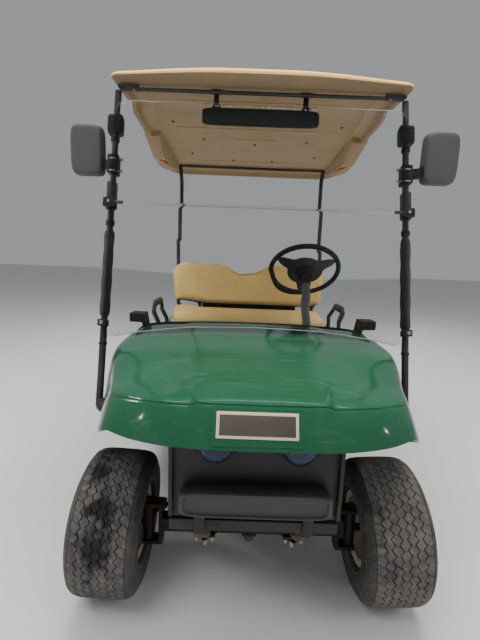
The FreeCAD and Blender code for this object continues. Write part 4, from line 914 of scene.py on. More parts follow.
def tyre():
    """Carcass by a lathe, with the blocks of tread and the rings of the wall laid over it."""
    half = [(r - (GROOVE_DEPTH if x < 0.083 else 0.0), x) for x, r in TYRE_PROFILE]
    full = facing(half[::-1], -1) + half[1:]
    # the groove floors between the tread blocks take the near-black groove rubber, painted shade
    kinds = []
    for (r1, x1), (r2, x2) in zip(full, full[1:]):
        mid, rad = abs(x1 + x2) / 2, (r1 + r2) / 2
        kinds.append(1 if mid < 0.084 and rad > 0.2 else 0)
    parts = [lathe(full, ["wall", "groove"], sides=96, angle=35, slots=kinds), tread_blocks()]
    for side in SIDES:
        parts.append(lathe(facing(RIM_RING, side), "ring", sides=96))
        parts.append(lathe(facing(WALL_RING, side), "wall", sides=96))
    return join("tyre_source", parts, 32)


def rim(side):
    """Pressed steel wheel with lugs, slots shown as dark discs of painted shade, a rolled flange and a hub
    cap.
    """
    parts = [lathe(BARREL, "rim", sides=96, angle=30),
             lathe(facing(DISC, side), "rim", sides=72, angle=30),
             lathe(facing(HUB, side), "column", sides=36, angle=30)]

    def bolt_on(x, radius, turn, start, stop, size, mat, sides):
        p = vec(side * x, radius * math.cos(turn), radius * math.sin(turn))
        parts.append(bar(p + X_AXIS * side * start, p + X_AXIS * side * stop, size, mat, sides))

    for k in range(4):
        a = math.pi / 4 + k * math.pi / 2
        bolt_on(0.019, 0.047, a, 0, 0.012, 0.0095, "bolt", 6)
        bolt_on(0.019, 0.047, a, 0, 0.018, 0.0055, "bolt", 12)
    # the slots are dark discs on the disc face, painted shade
    for k in range(8):
        bolt_on(0.0125, 0.077, math.pi / 8 + k * math.pi / 4, -0.004, 0.0008, 0.0075, "groove", 16)
    valve = vec(side * 0.06, 0.0, 0.0975)
    parts.append(bar(valve, valve + vec(side * 0.028, 0, -0.006), 0.0042, "grip", 10))
    return parts


def wheels():
    source = tyre()
    for end, wheel_x, y, z in (("front", FRONT_WHEEL_X, FRONT_AXLE, FRONT_HUB_Z),
                               ("rear", REAR_WHEEL_X, REAR_AXLE, TYRE_R)):
        for label, side in (("left", 1), ("right", -1)):
            lean = -side * CAMBER if end == "front" else 0
            spot = Matrix.Translation((side * wheel_x, y, z)) @ Matrix.Rotation(lean, 4, "Y")
            body = f"{end}_wheel_{label}"
            t = new_object(source.data.copy())
            t.data.transform(spot @ Matrix.Rotation(0.13 * (1 + side), 4, "X"))
            # the left front tyre gets the lighter tread, part dust and part painted light; the right one the
            # wet tread
            if end == "front":
                swap = t.data.materials.find("tyre_tread")
                t.data.materials[swap] = MATS["tread_dust_and_light" if side > 0 else "tread_wet"]
            piece(f"{end}_tyre_{label}_dressed", t, f"{end}_tyre_{label}", body)
            r = piece(f"{end}_rim_{label}_dressed", rim(side), f"{end}_rim_{label}", body, 32)
            r.data.transform(spot @ Matrix.Rotation(0.4 * side, 4, "X"))
    bpy.data.objects.remove(source)


# Windshield and struts

FOOT_Z = 0.565
TILT = Matrix.Rotation(-STRUT_LEAN, 3, "X")
PANE = 0.005
SPLIT_Z = 1.3


def strut_y(z):
    """Y of the front strut's axis at a height."""
    foot_y = FRONT_AXLE + 0.428 - (1.7337 - FOOT_Z) * math.tan(STRUT_LEAN)
    return foot_y + (z - FOOT_Z) * math.tan(STRUT_LEAN)


def on_strut(x, z, ahead=0.0):
    """A point of the leaning plane through both struts, moved ahead across the lean."""
    return vec(x, strut_y(z) - ahead * math.cos(STRUT_LEAN), z + ahead * math.sin(STRUT_LEAN))


def pane(name, half, node):
    """A flat pane just ahead of the struts, from the right half of its outline."""
    bm = bmesh.new()
    loop = half + [(-x, z) for x, z in half[::-1] if x > 0]
    verts = [bm.verts.new(on_strut(x, z, 0.0213 + PANE / 2)) for x, z in loop]
    made = bmesh.ops.extrude_face_region(bm, geom=[bm.faces.new(verts)])
    moved = [g for g in made["geom"] if isinstance(g, bmesh.types.BMVert)]
    normal = vec(0, -math.cos(STRUT_LEAN), math.sin(STRUT_LEAN))
    bmesh.ops.translate(bm, vec=normal * PANE * 0.5, verts=moved)
    bmesh.ops.translate(bm, vec=-normal * PANE * 0.5, verts=verts)
    bmesh.ops.bevel(bm, geom=[e for e in bm.edges if e.calc_face_angle(0) > 1.2], offset=0.0012,
                    segments=2, profile=0.5, affect="EDGES")
    piece(name, from_bmesh(bm, "acrylic"), node)


def windshield():
    xs = np.linspace(0, 0.551, 24)
    bottom = list(zip(xs, pchip([0, 0.2, 0.4, 0.5, 0.53, 0.551],
                                [0.873, 0.868, 0.847, 0.828, 0.819, 0.811], xs)))[:-2]
    pane("windshield_lower_pane", bottom + [(0.545, 0.832), (0.551, 0.84)]
         + arc(0.551 - 0.012, 1.297 - 0.012, 0.012, 0, 90, 4), "windshield_lower")
    pane("windshield_upper_pane", [(0.0, 1.303)] + arc(0.551 - 0.012, 1.303 + 0.012, 0.012, -90, 0, 4)
         + arc(0.551 - 0.048, 1.682 - 0.048, 0.048, 0, 90), "windshield_upper")
    parts = []
    for x in (-0.52, 0.52):
        a = on_strut(x, 1.3, 0.03)
        parts.append(tube([a - vec(0.02), a + vec(0.02)], 0.006, "grey", 10))
    line = [on_strut(x, SPLIT_Z, 0.0285) for x in np.linspace(-0.53, 0.53, 12)]
    parts.append(tube(line, 0.0042, "acrylic", 10))
    piece("windshield_hinge", parts)
    edge = [on_strut(x, z - 0.0006, 0.024) for x, z in mirrored(bottom)]
    piece("windshield_edge", tube(edge, 0.0019, "edge", 8))


def clamp(x, z, height, radius):
    """A ring moulded round the strut."""
    low, high = on_strut(x, z - height / 2), on_strut(x, z + height / 2)
    profile = [(0.0127, 0), (radius - 0.002, 0), (radius, 0.002), (radius, height - 0.002),
               (radius - 0.002, height), (0.0127, height)]
    return lathe(profile, "black", low, high - low, 28)


def struts():
    parts, foams, metal = [], [], []
    for side in SIDES:
        x, inner = side * STRUT_X, side * 0.5275

        def strut_box(at, half, front, back, tall, mat, radius, steps=3, shift=0.0):
            """A box about a point of the strut, turned with the strut's lean."""
            parts.append(box(about(x, half), (at.y - front, at.y + back), about(at.z + shift, tall), mat,
                             radius, steps, TILT, at))

        parts.append(bar(on_strut(x, 0.585), on_strut(x, 1.7315), 0.0125, "tube", 24))
        # bent foot that turns in to the cowl's flank
        line = smooth_path([on_strut(x, 0.64), on_strut(x, 0.605),
                            vec(x - side * 0.002, strut_y(0.585), 0.583),
                            vec(x - side * 0.012, strut_y(0.573), 0.574), vec(inner, strut_y(0.573), 0.574)])
        parts.append(tube(line, 0.0128, "tube"))
        parts.append(box((inner, x), about(strut_y(0.59), 0.012), (0.566, 0.612), "tube"))

        def sleeve(t, s=side):
            """Radius of the slightly uneven foam sleeve."""
            return 0.0185 * min(1, 0.72 + min(t, 1 - t) * 9) + 0.0009 * math.sin(t * 23 + s)

        low, high = (0.895, 1.205) if side < 0 else (0.885, 1.215)
        foams.append(tube([on_strut(x, z) for z in np.linspace(low, high, 40)], sleeve, "foam", 22))
        # ribbed box sleeve high on the strut
        c = on_strut(x, 1.598)
        strut_box(c, 0.027, 0.021, 0.021, 0.036, "black", 0.006)
        for k in (-0.022, -0.011, 0, 0.011, 0.022):
            strut_box(c, 0.0285, 0.0225, 0.0225, 0.002, "black", 0.0015, 2, k)
        # hinge clamp at the split, with a grey strap above it
        parts.append(clamp(x, SPLIT_Z, 0.034, 0.0212))
        strut_box(on_strut(x, SPLIT_Z, 0.03), 0.022, 0.008, 0.01, 0.017, "black", 0.005)
        metal.append(bar(on_strut(x, SPLIT_Z, 0.036), on_strut(x, SPLIT_Z, 0.0435), 0.006, "bolt", 6))
        strut_box(on_strut(x, 1.352), 0.0165, 0.018, 0.016, 0.032, "grey", 0.004)
        # lower clip with a bright bolt
        strut_box(on_strut(x, 0.872), 0.016, 0.03, 0.012, 0.012, "black", 0.004)
        metal.append(bar(on_strut(x, 0.872, 0.028), on_strut(x, 0.872, 0.038), 0.0068, "bolt", 12))
        # narrow bands between the sleeves
        for z, r, h in ((1.232, 0.0165, 0.02), (1.545, 0.017, 0.018), (0.8, 0.015, 0.01)):
            parts.append(clamp(x, z, h, r))
    piece("front_struts_dressed", parts, ["front_struts", "windshield_clamps"])
    piece("strut_foam", foams)
    piece("strut_bolts", metal)


# Mirrors

def same_shares(power, *rows):
    """Loft rows with one share for both halves and one power."""
    return [(shift, share, share, power) for shift, share in rows]


def mirrors():
    shells, glass, metal = [], [], []
    housing = [(shift, share, share, power) for shift, share, power in (
        (-0.029, 0.8, 4.0), (-0.0275, 0.88, 4.4), (-0.023, 0.945, 5.0), (-0.013, 0.985, 5.6),
        (0.0, 1.0, 6.0), (0.018, 1.0, 6.4), (0.0265, 0.985, 6.4), (0.0288, 0.955, 6.4))]
    for side in SIDES:
        width, height = 0.124, 0.188
        cx, cy, cz = side * (0.609 + width / 2), FRONT_AXLE + (0.35 if side > 0 else 0.42), 1.512
        shells.append(loft((cx, cy, cz), width / 2, height / 2, housing, "mirror_shell"))
        glass.append(loft((cx, cy + 0.029, cz), width / 2, height / 2,
                          same_shares(6.2, (-0.003, 0.89), (0.0, 0.88), (0.0003, 0.86)), "mirror"))
        # knuckle and arm back to the strut
        x = side * STRUT_X
        a = on_strut(x, 1.448)
        arm = smooth_path([a + vec(side * 0.012, -0.004), vec(side * 0.578, cy - 0.006, 1.452),
                           vec(side * 0.598, cy - 0.003, 1.458), vec(side * 0.622, cy - 0.002, 1.468)])
        shells.append(tube(arm, 0.0105, "black", flat=1.3))
        for p, r in ((vec(side * 0.59, cy - 0.004, 1.455), 0.016),
                     (vec(side * 0.612, cy - 0.002, 1.463), 0.0145)):
            shells.append(bar(p - vec(z=0.018), p + vec(z=0.018), r, "black"))
        shells.append(box(about(x, 0.0205), about(a.y, 0.0225), about(a.z, 0.036), "black", 0.005,
                          3, TILT, a))
        for dz in (-0.022, 0.022):
            c = on_strut(x, 1.448 + dz)
            bow = [c + vec(side * -0.024, -0.012), c + vec(0, -0.0245), c + vec(side * 0.024, -0.012)]
            metal.append(tube(smooth_path(bow), 0.003, "bolt", 10))
            metal.append(bar(c + vec(side * -0.024), c + vec(side * -0.034), 0.0055, "bolt", 6))
    piece("side_mirror_shells", shells, "side_mirrors")
    piece("side_mirror_glass", glass)
    piece("mirror_bolts", metal)
    y, z = FRONT_AXLE + 0.513, 1.678
    back = ((-0.013, 0.955, 0.62, 5), (-0.0115, 0.975, 0.8, 6), (-0.007, 0.99, 0.93, 7), (0.0, 1.0, 1.0, 8),
            (0.009, 1.0, 1.0, 8), (0.0125, 0.992, 0.95, 8))
    parts = [loft((0, y, z), 0.235, 0.03, back, "black")]
    for x in (-0.18, 0.18):
        parts.append(box(about(x, 0.01), (y - 0.012, y + 0.006), (1.69, 1.7745), "black", 0.003))
        parts.append(box(about(x, 0.022), (y - 0.018, y + 0.014), (1.7665, 1.7745), "black", 0.002))
        parts.append(bar((x, y - 0.02, 1.715), (x, y + 0.01, 1.715), 0.012, "black"))
        parts.append(box(about(x, 0.017), (y - 0.0165, y + 0.01), (1.694, 1.712), "black", 0.003))
    piece("rear_view_mirror_shell", parts, "rear_view_mirror")
    face = same_shares(7, (-0.003, 0.95), (0, 0.94), (0.0004, 0.92))
    piece("rear_view_glass", loft((0, y + 0.013, z), 0.235, 0.03, face, "mirror"))


# Steering

WHEEL_AT = vec(0.25, FRONT_AXLE + 0.763, 1.064)
COLUMN = math.radians(43)
AXIS = vec(0, math.sin(COLUMN), math.cos(COLUMN))
RING_R, RING_THICK = 0.161, 0.012


def steering():
    verts, rows, sides = [], 120, 18
    for i in range(rows):
        a = 2 * math.pi * i / rows
        bump = 1 + 0.035 * max(0, math.sin(a * 30))
        for k in range(sides):
            b = 2 * math.pi * k / sides
            r = RING_THICK * (bump if math.cos(b) < 0.2 else 1) / 1.035
            out = RING_R + r * math.cos(b)
            verts.append((out * math.cos(a), out * math.sin(a), r * math.sin(b)))
    parts = [mesh_part(verts, grid_faces(rows, sides, wrap=True) + closing(rows, sides), "grip")]
    # broad three-armed cover
    verts, n = [], 180
    layers = ((1.0, -0.0065), (1.01, -0.002), (0.985, 0.0035), (0.9, 0.007), (0.62, 0.0115),
              (0.3, 0.0145), (0.02, 0.015))
    for grow, z in layers:
        for a in (2 * math.pi * i / n for i in range(n)):
            lobe = max(0.0, math.cos(3 * (a - math.pi / 2)))
            r = (0.086 + 0.064 * lobe ** 4.0) * grow
            verts.append((r * math.cos(a), r * math.sin(a), z))
    faces = grid_faces(len(layers), n, wrap=True) + end_caps(len(layers), n)[:1]
    parts.append(mesh_part(verts, faces, "wheel_cover", 45))
    boss = milli((0, -40), (34, -40), (36, -37), (46, -12), (48, -6), (20, -4))
    parts.append(lathe(boss, "grip", axis=Z_AXIS, sides=40))
    cap = milli((40, 8), (41, 14.5), (38, 18.5), (20, 20), (0, 20.3))
    parts.append(lathe(cap, "black", axis=Z_AXIS, sides=40))
    for i in range(3):
        a = math.pi / 2 + i * 2 * math.pi / 3
        c, s = math.cos(a), math.sin(a)
        for side in SIDES:
            rib = []
            for r in (0.058, 0.085, 0.11, 0.138):
                off = side * 0.01 * (1 - (r - 0.05) * 3)
                rib.append(vec(c * r - s * off, s * r + c * off, 0.01 - (r - 0.05) * 0.1))
            parts.append(tube(rib, 0.0042, "grip", 10))
    wheel = join("steering_wheel_dressed", parts, 40)
    wheel.data.transform(Matrix.Translation(WHEEL_AT) @ Matrix.Rotation(-COLUMN, 4, "X"))
    piece("steering_wheel_dressed", wheel, "steering_wheel", "steering_wheel")
    boot = milli((36, 0), (37, 6), (30, 14), (32, 20), (26, 28), (28, 34), (19.5, 44))
    collar = milli((19.5, 0), (23.5, 1), (24.5, 6), (24.5, 34), (22.5, 38), (19.5, 39))
    piece("column_trim", [lathe(boot, "grip", WHEEL_AT - AXIS * 0.52, AXIS, 32),
                          lathe(collar, "black", WHEEL_AT - AXIS * 0.088, AXIS, 32)])


# Seat

VOXEL = 0.0062
REFINE_BELOW = 45000
FAR = 9.0
PIPING_R = 0.0038
CUSHION_LOW, CUSHION_HIGH = 0.69, 0.805
CUSHION_FRONT, CUSHION_BACK = FRONT_AXLE + 1.095, FRONT_AXLE + 1.44
BACK_HALF, BACK_SIDE = 0.51, 0.185
BACK_AT = Matrix.Translation((0, FRONT_AXLE + 1.48, 0.826)) @ Matrix.Rotation(-math.radians(10), 4, "X")


def loft_loops(rows, mat):
    """A closed loft through loops of the same number of points."""
    n = len(rows[0])
    faces = grid_faces(len(rows), n, wrap=True) + end_caps(len(rows), n)
    return outward(mesh_part([v for row in rows for v in row], faces, mat))


def get_points(obj):
    return np.array([v.co for v in obj.data.vertices], float)


def set_points(obj, co):
    obj.data.vertices.foreach_set("co", co.astype(np.float32).ravel())
    obj.data.update()


def clamp_box(obj, low, high):
    """Keep a pad in the room its solid holds."""
    set_points(obj, np.clip(get_points(obj), np.array(low), np.array(high)))


def puff(rows, pressure, cap, frames=20):
    """Swell a pad by a short cloth simulation, no point moving further than the cap."""
    obj = loft_loops(rows, "vinyl")
    modify(obj, "REMESH", mode="VOXEL", voxel_size=VOXEL)
    apply_all(obj)
    rest = get_points(obj)
    scene = bpy.context.scene
    cloth = modify(obj, "CLOTH")
    for key, value in dict(use_pressure=True, uniform_pressure_force=pressure, quality=4,
                           tension_stiffness=15, compression_stiffness=15,
                           bending_stiffness=0.6).items():
        setattr(cloth.settings, key, value)
    cloth.settings.effector_weights.gravity = 0
    cloth.point_cache.frame_start, cloth.point_cache.frame_end = 1, frames
    for step in range(1, frames + 1):
        scene.frame_set(step)
    apply_all(obj)
    scene.frame_set(1)
    move = get_points(obj) - rest
    size = np.linalg.norm(move, axis=1)
    keep = np.minimum(1, cap / np.maximum(size, 1e-9))
    set_points(obj, rest + move * keep[:, None])
    obj.data.materials.clear()
    obj.data.materials.append(MATS["vinyl"])
    shade(obj)
    return obj


def finish_pad(obj):
    """Smooth a pad, and refine it where its mesh is small enough."""
    modify(obj, "SMOOTH", iterations=4, factor=0.5)
    apply_all(obj)
    if len(obj.data.polygons) < REFINE_BELOW:
        modify(obj, "SUBSURF", levels=1, render_levels=1)
        apply_all(obj)
    shade(obj)


def piping(name, pad, points, body, sink=0.0012, rounds=3):
    """A cord of trim on a closed seam line, laid on the pad's skin and evened out."""
    bpy.context.view_layer.update()
    laid = []
    for p in points:
        _, at, normal, _ = pad.closest_point_on_mesh(p)
        laid.append(at - normal * sink)
    count = len(laid)
    for _ in range(rounds):
        laid = [(laid[i - 1] + laid[i] * 2 + laid[(i + 1) % count]) / 4 for i in range(count)]
    piece(name, tube(laid, PIPING_R, "piping", 8, closed=True), body=body)


def cushion_loop(pull, z, pull_back=None):
    """One level of the cushion, pulled in from its full outline; the top rises to its rear edge."""
    half_front, half_back, front = 0.47 - pull, 0.5 - pull, CUSHION_FRONT + pull
    back = CUSHION_BACK - (pull if pull_back is None else pull_back)
    pts, n = [], 96
    for k in range(n):
        a = 2 * math.pi * k / n
        ex = math.copysign(abs(math.cos(a)) ** 0.3, math.cos(a))
        ey = math.copysign(abs(math.sin(a)) ** 0.3, math.sin(a))
        y = (front + back) / 2 + ey * (back - front) / 2
        t = (y - front) / (back - front)
        x = ex * (half_front + (half_back - half_front) * min(1, t * 2.5))
        rise = 0.007 * blend_step(t, 0.5, 1.0) if z > CUSHION_LOW + 0.09 else 0.0
        pts.append(vec(x, y, z + rise))
    return pts


def back_top(x):
    """Height of the backrest's top edge over the width: two humps with a dip between them."""
    return float(pchip([0, 0.055, 0.082, 0.108, 0.135, 0.18, 0.4, 0.47, 0.51],
                       [0.193, 0.194, 0.206, 0.232, 0.247, 0.25, 0.249, 0.234, 0.185], abs(x)))


def back_loop(pull, depth):
    """One level of the upright backrest, pulled in from its full outline."""
    half, low_half, m = BACK_HALF - pull, BACK_HALF - pull - 0.024, 40
    shares = (0.85, 0.6, 0.35, 0.15)
    pts = []
    for k in range(m):
        x = -half + 2 * half * (k / (m - 1))
        pts.append((x, back_top(x * 0.51 / half) - pull))
    pts += [(half - 0.02 * (1 - a), pull + (BACK_SIDE - 2 * pull) * a) for a in shares]
    pts += [(low_half - 2 * low_half * (k / (m - 1)), 0.35 * pull) for k in range(m)]
    pts += [(-half + 0.02 * (1 - a), pull + (BACK_SIDE - 2 * pull) * a) for a in shares[::-1]]
    return [vec(x, depth, z) for x, z in pts]


def seat():
    # cushion: crowned top, sides that pull in, flat below
    low = CUSHION_LOW
    rows = [cushion_loop(pull, low + z, 0.6 * pull) for z, pull in milli(
        (1, 22), (12, 12), (40, 9), (70, 10), (92, 13), (106, 24), (112, 48))]
    cushion = puff(rows, 3.2, 0.009)
    clamp_box(cushion, (-FAR, -FAR, low + 0.0005), (FAR, FAR, FAR))
    finish_pad(cushion)
    clamp_box(cushion, (-0.502, CUSHION_FRONT - 0.002, low),
              (0.502, CUSHION_BACK + 0.001, CUSHION_HIGH + 0.01))
    piece("seat_cushion_pad", cushion, "seat_cushion", "seat")
    piping("seat_cushion_piping", cushion, cushion_loop(0.008, low + 0.082), "seat")
    # backrest: two humps, leaning back
    rows = [back_loop(pull, depth) for depth, pull in milli((8, 34), (14, 16), (26, 8), (45, 6), (62, 10),
                                                            (70, 20))]
    back = puff(rows, 3.0, 0.008)
    finish_pad(back)
    clamp_box(back, (-0.512, -0.006, 0.0), (0.512, 0.078, 0.254))
    back.data.transform(BACK_AT)
    piece("backrest_pad", back, "backrest")
    for index, (pull, depth) in enumerate(((0.006, 0.017), (0.009, 0.066))):
        seam = [BACK_AT @ p for p in back_loop(pull, depth)]
        piping("backrest_piping_" + str(index), back, seam, "chassis")
    # moulded shell behind the pad
    cover = loft_loops([back_loop(0.02, 0.066), back_loop(0.018, 0.0745), back_loop(0.03, 0.0775)], "black")
    cover.data.transform(BACK_AT)
    shade(cover, 40)
    piece("backrest_shell", cover)


# Front end and running gear

BOWL = milli((0, 4), (20, 6), (34, 18), (40, 36), (40.5, 40))
BEZEL = milli((40.5, 0), (49.5, 0), (49.8, 30), (47, 40), (43, 43.5), (40.5, 42), (40, 36))
LENS = milli((42.5, 39.5), (40, 44), (30, 49), (15, 52), (0, 53), (0, 50), (15, 49), (30, 46), (40, 40.5))
BUMPER_ROWS = (
    (0.0, 0.965, 0.9, 6), (-0.01, 0.99, 0.96, 6), (-0.024, 1.0, 1.0, 6.5), (-0.04, 0.998, 0.99, 6.5),
    (-0.0485, 0.988, 0.945, 6.5), (-0.0515, 0.965, 0.86, 6.5), (-0.0505, 0.94, 0.775, 6.5),
    (-0.0455, 0.925, 0.725, 6.5), (-0.0435, 0.905, 0.665, 6), (-0.044, 0.6, 0.4, 5))


def front_end():
    face = FRONT_AXLE - 0.235 - GAP
    parts = [box((-0.235, 0.235), (face - 0.01, face), (0.43, 0.74), "black")]
    for x in (-0.15, 0.15):
        parts.append(box(about(x, 0.015), (face - 0.01, face), (0.379, 0.436), "black", 0.003))
    for x in (-0.228, 0.228):
        parts.append(box(about(x, 0.006), (face - 0.022, face - 0.002), (0.435, 0.7), "black", 0.003))
    piece("front_panel_dressed", parts, "front_panel")
    front = face - 0.01 - GAP
    bumper = loft((0, front, (0.46 + 0.536) / 2), 0.202, 0.038, BUMPER_ROWS, "grey")
    piece("front_bumper_dressed", bumper, "front_bumper")
    lamps, bowls, screws = [], [], []
    for x in (-0.108, 0.108):
        at = vec(x, front - 0.002, 0.658)
        bowls.append(lathe(BOWL, "chrome", at, -Y_AXIS, 48))
        bowls.append(lathe(BEZEL, "black", at, -Y_AXIS, 56))
        lamps.append(lathe(LENS, "glass", at, -Y_AXIS, 56))
        for a in (math.radians(210 + 60 * k) for k in range(3)):
            p = at + vec(0.06 * math.cos(a), 0, 0.06 * math.sin(a))
            screws.append(bar(p, p - Y_AXIS * 0.006, 0.0085, "black", 16))
            screws.append(bar(p - Y_AXIS * 0.006, p - Y_AXIS * 0.0095, 0.0052, "axle", 6))
    piece("headlamp_lenses", lamps, "headlamps")
    piece("headlamp_bowls", bowls)
    piece("headlamp_screws", screws)


LEAVES = 4
U_BOLT_X, U_BOLT_Y = 0.0265, 0.03


def spring_pack(name, x, axle_y, seat_z, top_z, node, half):
    """Leaves of falling length with clips and U-bolts on one spring seat, on both sides."""
    parts = []
    lift, eye_z = top_z - 0.012 - seat_z - 0.02, top_z - 0.014
    for cx in (-x, x):
        for leaf in range(LEAVES):
            verts, n = [], 25
            for t in np.linspace(-1, 1, n):
                y = t * half * (1 - 0.2 * (LEAVES - 1 - leaf))
                rise = max(0.0, abs(y) - 0.06) / (half - 0.06)
                z = seat_z + 0.0035 + leaf * 0.0052 + lift * min(1.0, rise) ** 1.35
                for dx, dz in ((-0.021, -0.0023), (0.021, -0.0023), (0.022, 0), (0.021, 0.0023),
                               (-0.021, 0.0023), (-0.022, 0)):
                    verts.append((cx + dx, axle_y + y, z + dz))
            ends = [tuple(range(6)), tuple(range((n - 1) * 6, n * 6))]
            parts.append(mesh_part(verts, grid_faces(n, 6, wrap=True) + ends, "spring", 30))
        for end in SIDES:
            y, clip_y = axle_y + end * (half - 0.011), axle_y + end * 0.115
            clip_z = seat_z + 0.01 + lift * (0.055 / (half - 0.06)) ** 1.35
            parts.append(lathe(milli((7, -22), (13.5, -22), (13.5, 22), (7, 22)), "spring", (cx, y, eye_z),
                               sides=24))
            parts.append(bar((cx - 0.0225, y, eye_z), (cx + 0.0225, y, eye_z), 0.0068, "bolt", 12))
            parts.append(box(about(cx, 0.0218), about(y, 0.012), (top_z - 0.016, top_z - 0.0005),
                             "frame", 0.003))
            parts.append(box(about(cx, 0.0235), about(clip_y, 0.008), (clip_z - 0.008, clip_z + 0.014),
                             "spring", 0.002))
            y = axle_y + end * U_BOLT_Y
            for p in (vec(cx - U_BOLT_X, y, seat_z - 0.012), vec(cx + U_BOLT_X, y, seat_z - 0.012)):
                parts.append(bar(p, p + vec(z=0.036), 0.0042, "bolt", 12))
            a = vec(cx - U_BOLT_X, y, seat_z + 0.0225)
            parts.append(bar(a, a + vec(2 * U_BOLT_X), 0.0042, "bolt", 12))
        parts.append(box(about(cx, 0.024), about(axle_y, 0.045), (seat_z - 0.0005, seat_z + 0.0045),
                         "axle", 0.001))
    piece(name, parts, node, angle=32)


def running_gear():
    beam_half, tie_z, tie_y = 0.0225, BEAM_Z - 0.0145, FRONT_AXLE + 0.11
    rail_low = BEAM_Z + beam_half + 0.02 + 0.0575
    spring_pack("front_springs_dressed", FRONT_SPRING_X, FRONT_AXLE, BEAM_Z + beam_half + GAP, rail_low - GAP,
                "front_leaf_springs", 0.173)
    spring_pack("rear_springs_dressed", REAR_SPRING_X, REAR_AXLE, TYRE_R + 0.035 + GAP, rail_low - 0.03 - GAP,
                "rear_leaf_springs", 0.243)
    # spring studs under the beam, with big washers and domed nuts
    parts, nuts = [], []
    under = BEAM_Z - beam_half

    def upright(x, low, high, radius, mat, sides, y=FRONT_AXLE):
        return bar((x, y, under - low), (x, y, under - high), radius, mat, sides)

    for x in (-FRONT_SPRING_X, FRONT_SPRING_X):
        parts.append(upright(x, 0.0135, 0.0085, 0.049, "axle", 4))
        parts.append(upright(x, 0.0165, 0.0135, 0.022, "bolt", 28))
        parts.append(upright(x, 0.0185, 0.0155, 0.017, "bolt", 28))
        nuts.append(upright(x, 0.034, 0.018, 0.0135, "bolt", 6))
        nuts.append(upright(x, 0.0605, 0.03, 0.0084, "bolt", 16))
        for bolt_x in about(x, U_BOLT_X):
            for y in about(FRONT_AXLE, U_BOLT_Y):
                nuts.append(upright(bolt_x, 0.0185, 0.0085, 0.0072, "bolt", 6, y))
                nuts.append(upright(bolt_x, 0.0265, 0.0085, 0.0042, "bolt", 10, y))
    cup = milli((0, -30), (12, -29.8), (17.8, -26), (18.5, -14), (15.5, -8.5))
    parts.append(lathe(cup, "grey", (0, FRONT_AXLE, under - 0.0045), Z_AXIS, 32))
    piece("beam_hardware", parts + nuts)
    bellows = [(0.0085, 0)] + [(0.0118 if k % 2 else 0.0092, 0.006 + 0.005 * k) for k in range(11)]
    bellows.append((0.0085, 0.066))
    boot = milli((0, -13), (13, -13), (15.5, -8), (15, 4), (10.5, 7), (0, 7.2))
    for label, side in (("left", 1), ("right", -1)):
        caps = [bar((side * KNUCKLE_X, FRONT_AXLE, BEAM_Z + up * 0.0775),
                    (side * KNUCKLE_X, FRONT_AXLE, BEAM_Z + up * 0.0855), 0.0145, "axle", 6) for up in SIDES]
        piece("kingpin_caps_" + label, caps, body="knuckle_" + label)
        piece("tie_boot_" + label, lathe(boot, "grip", (side * (KNUCKLE_X - 0.03), tie_y, tie_z), Z_AXIS, 28),
              body="tie_rod")
    covers = [lathe(bellows, "grip", (side * 0.285, tie_y, tie_z), -X_AXIS * side, 24) for side in SIDES]
    piece("tie_bellows", covers, body="tie_rod")


# Body panels and floor

# node, material, width of the softened edge, its segments
DRESSED = (
    ("steering_column", "column", 0, 2), ("front_axle_beam", "axle", 0.0022, 2),
    ("knuckle_left", "axle", 0.0018, 2), ("knuckle_right", "axle", 0.0018, 2), ("tie_rod", "axle", 0, 2),
    ("rear_axle", "axle", 0.004, 2), ("frame_rails", "frame", 0.003, 2),
    ("frame_crossmembers", "frame", 0.003, 2), ("rear_bumper", "frame", 0.004, 2),
    ("rear_body", "green", 0.01, 4), ("seat_skirt", "black", 0.004, 2), ("bag_well", "black", 0.003, 2),
    ("battery_pack", "battery", 0.006, 2), ("rocker_panels", "black", 0.006, 3),
    ("floorboard", "mat", 0.003, 2), ("dash", "black", 0.006, 3), ("pedals", "grip", 0.003, 2),
    ("backrest_frame", "tube", 0, 2), ("bag_rack", "tube", 0, 2), ("hip_restraints", "tube", 0, 2),
    ("rear_struts", "tube", 0, 2), ("roof_crossbars", "tube", 0, 2), ("sweater_basket", "black", 0.003, 2))


def body_panels():
    for node, mat, bevel, segments in DRESSED:
        dress(node, mat, bevel, segments)
    ribs = [box(about(-0.42 + 0.04 * k, 0.006), (FRONT_AXLE + 0.36, FRONT_AXLE + 1.04),
                (0.3955, 0.4005), "mat", 0.002, 2) for k in range(22)]
    piece("floor_ribs", ribs)
    strips = [box(about(side * 0.543, 0.016), about(FRONT_AXLE + 0.48 + 0.068 * k, 0.022),
                  (0.3985, 0.4025), "black", 0.0015, 2) for side in SIDES for k in range(9)]
    piece("rocker_strips", strips)
    pads = []
    for side in SIDES:
        line = [vec(side * 0.545, FRONT_AXLE + 1.115 + 0.05 + 0.17 * t, 0.8375 if 0 < t < 1 else 0.8365)
                for t in np.linspace(0, 1, 14)]
        pads.append(tube(line, lambda t: 0.0185 * min(1, 0.75 + 6 * min(t, 1 - t)), "foam", 20))
    piece("restraint_pads", pads)


def dash_details():
    y = FRONT_AXLE + 0.42 + GAP + 0.025
    # the key slot is a near-black box, painted shade
    piece("dash_switches", [
        bar((0.1, y - 0.002, 0.745), (0.1, y + 0.012, 0.745), 0.017, "bolt", 28),
        box((0.0985, 0.1015), (y + 0.011, y + 0.0135), (0.738, 0.752), "groove", 0.0005),
        box((0.015, 0.07), (y - 0.002, y + 0.006), (0.725, 0.765), "grip")])
    cups = []
    for x in (-0.045, 0.045):
        ring = milli((34, 0), (40, 1), (41, 4), (37, 6), (34, 5))
        cups.append(lathe(ring, "black", (x, y - 0.001, 0.68), Y_AXIS, 36))
        # the cup's floor is a near-black disc, painted shade in the hollow
        cups.append(lathe(milli((0, 0.5), (34.5, 0.5), (34.5, 3)), "groove", (x, y, 0.68), Y_AXIS, 36))
    piece("dash_cups", cups)


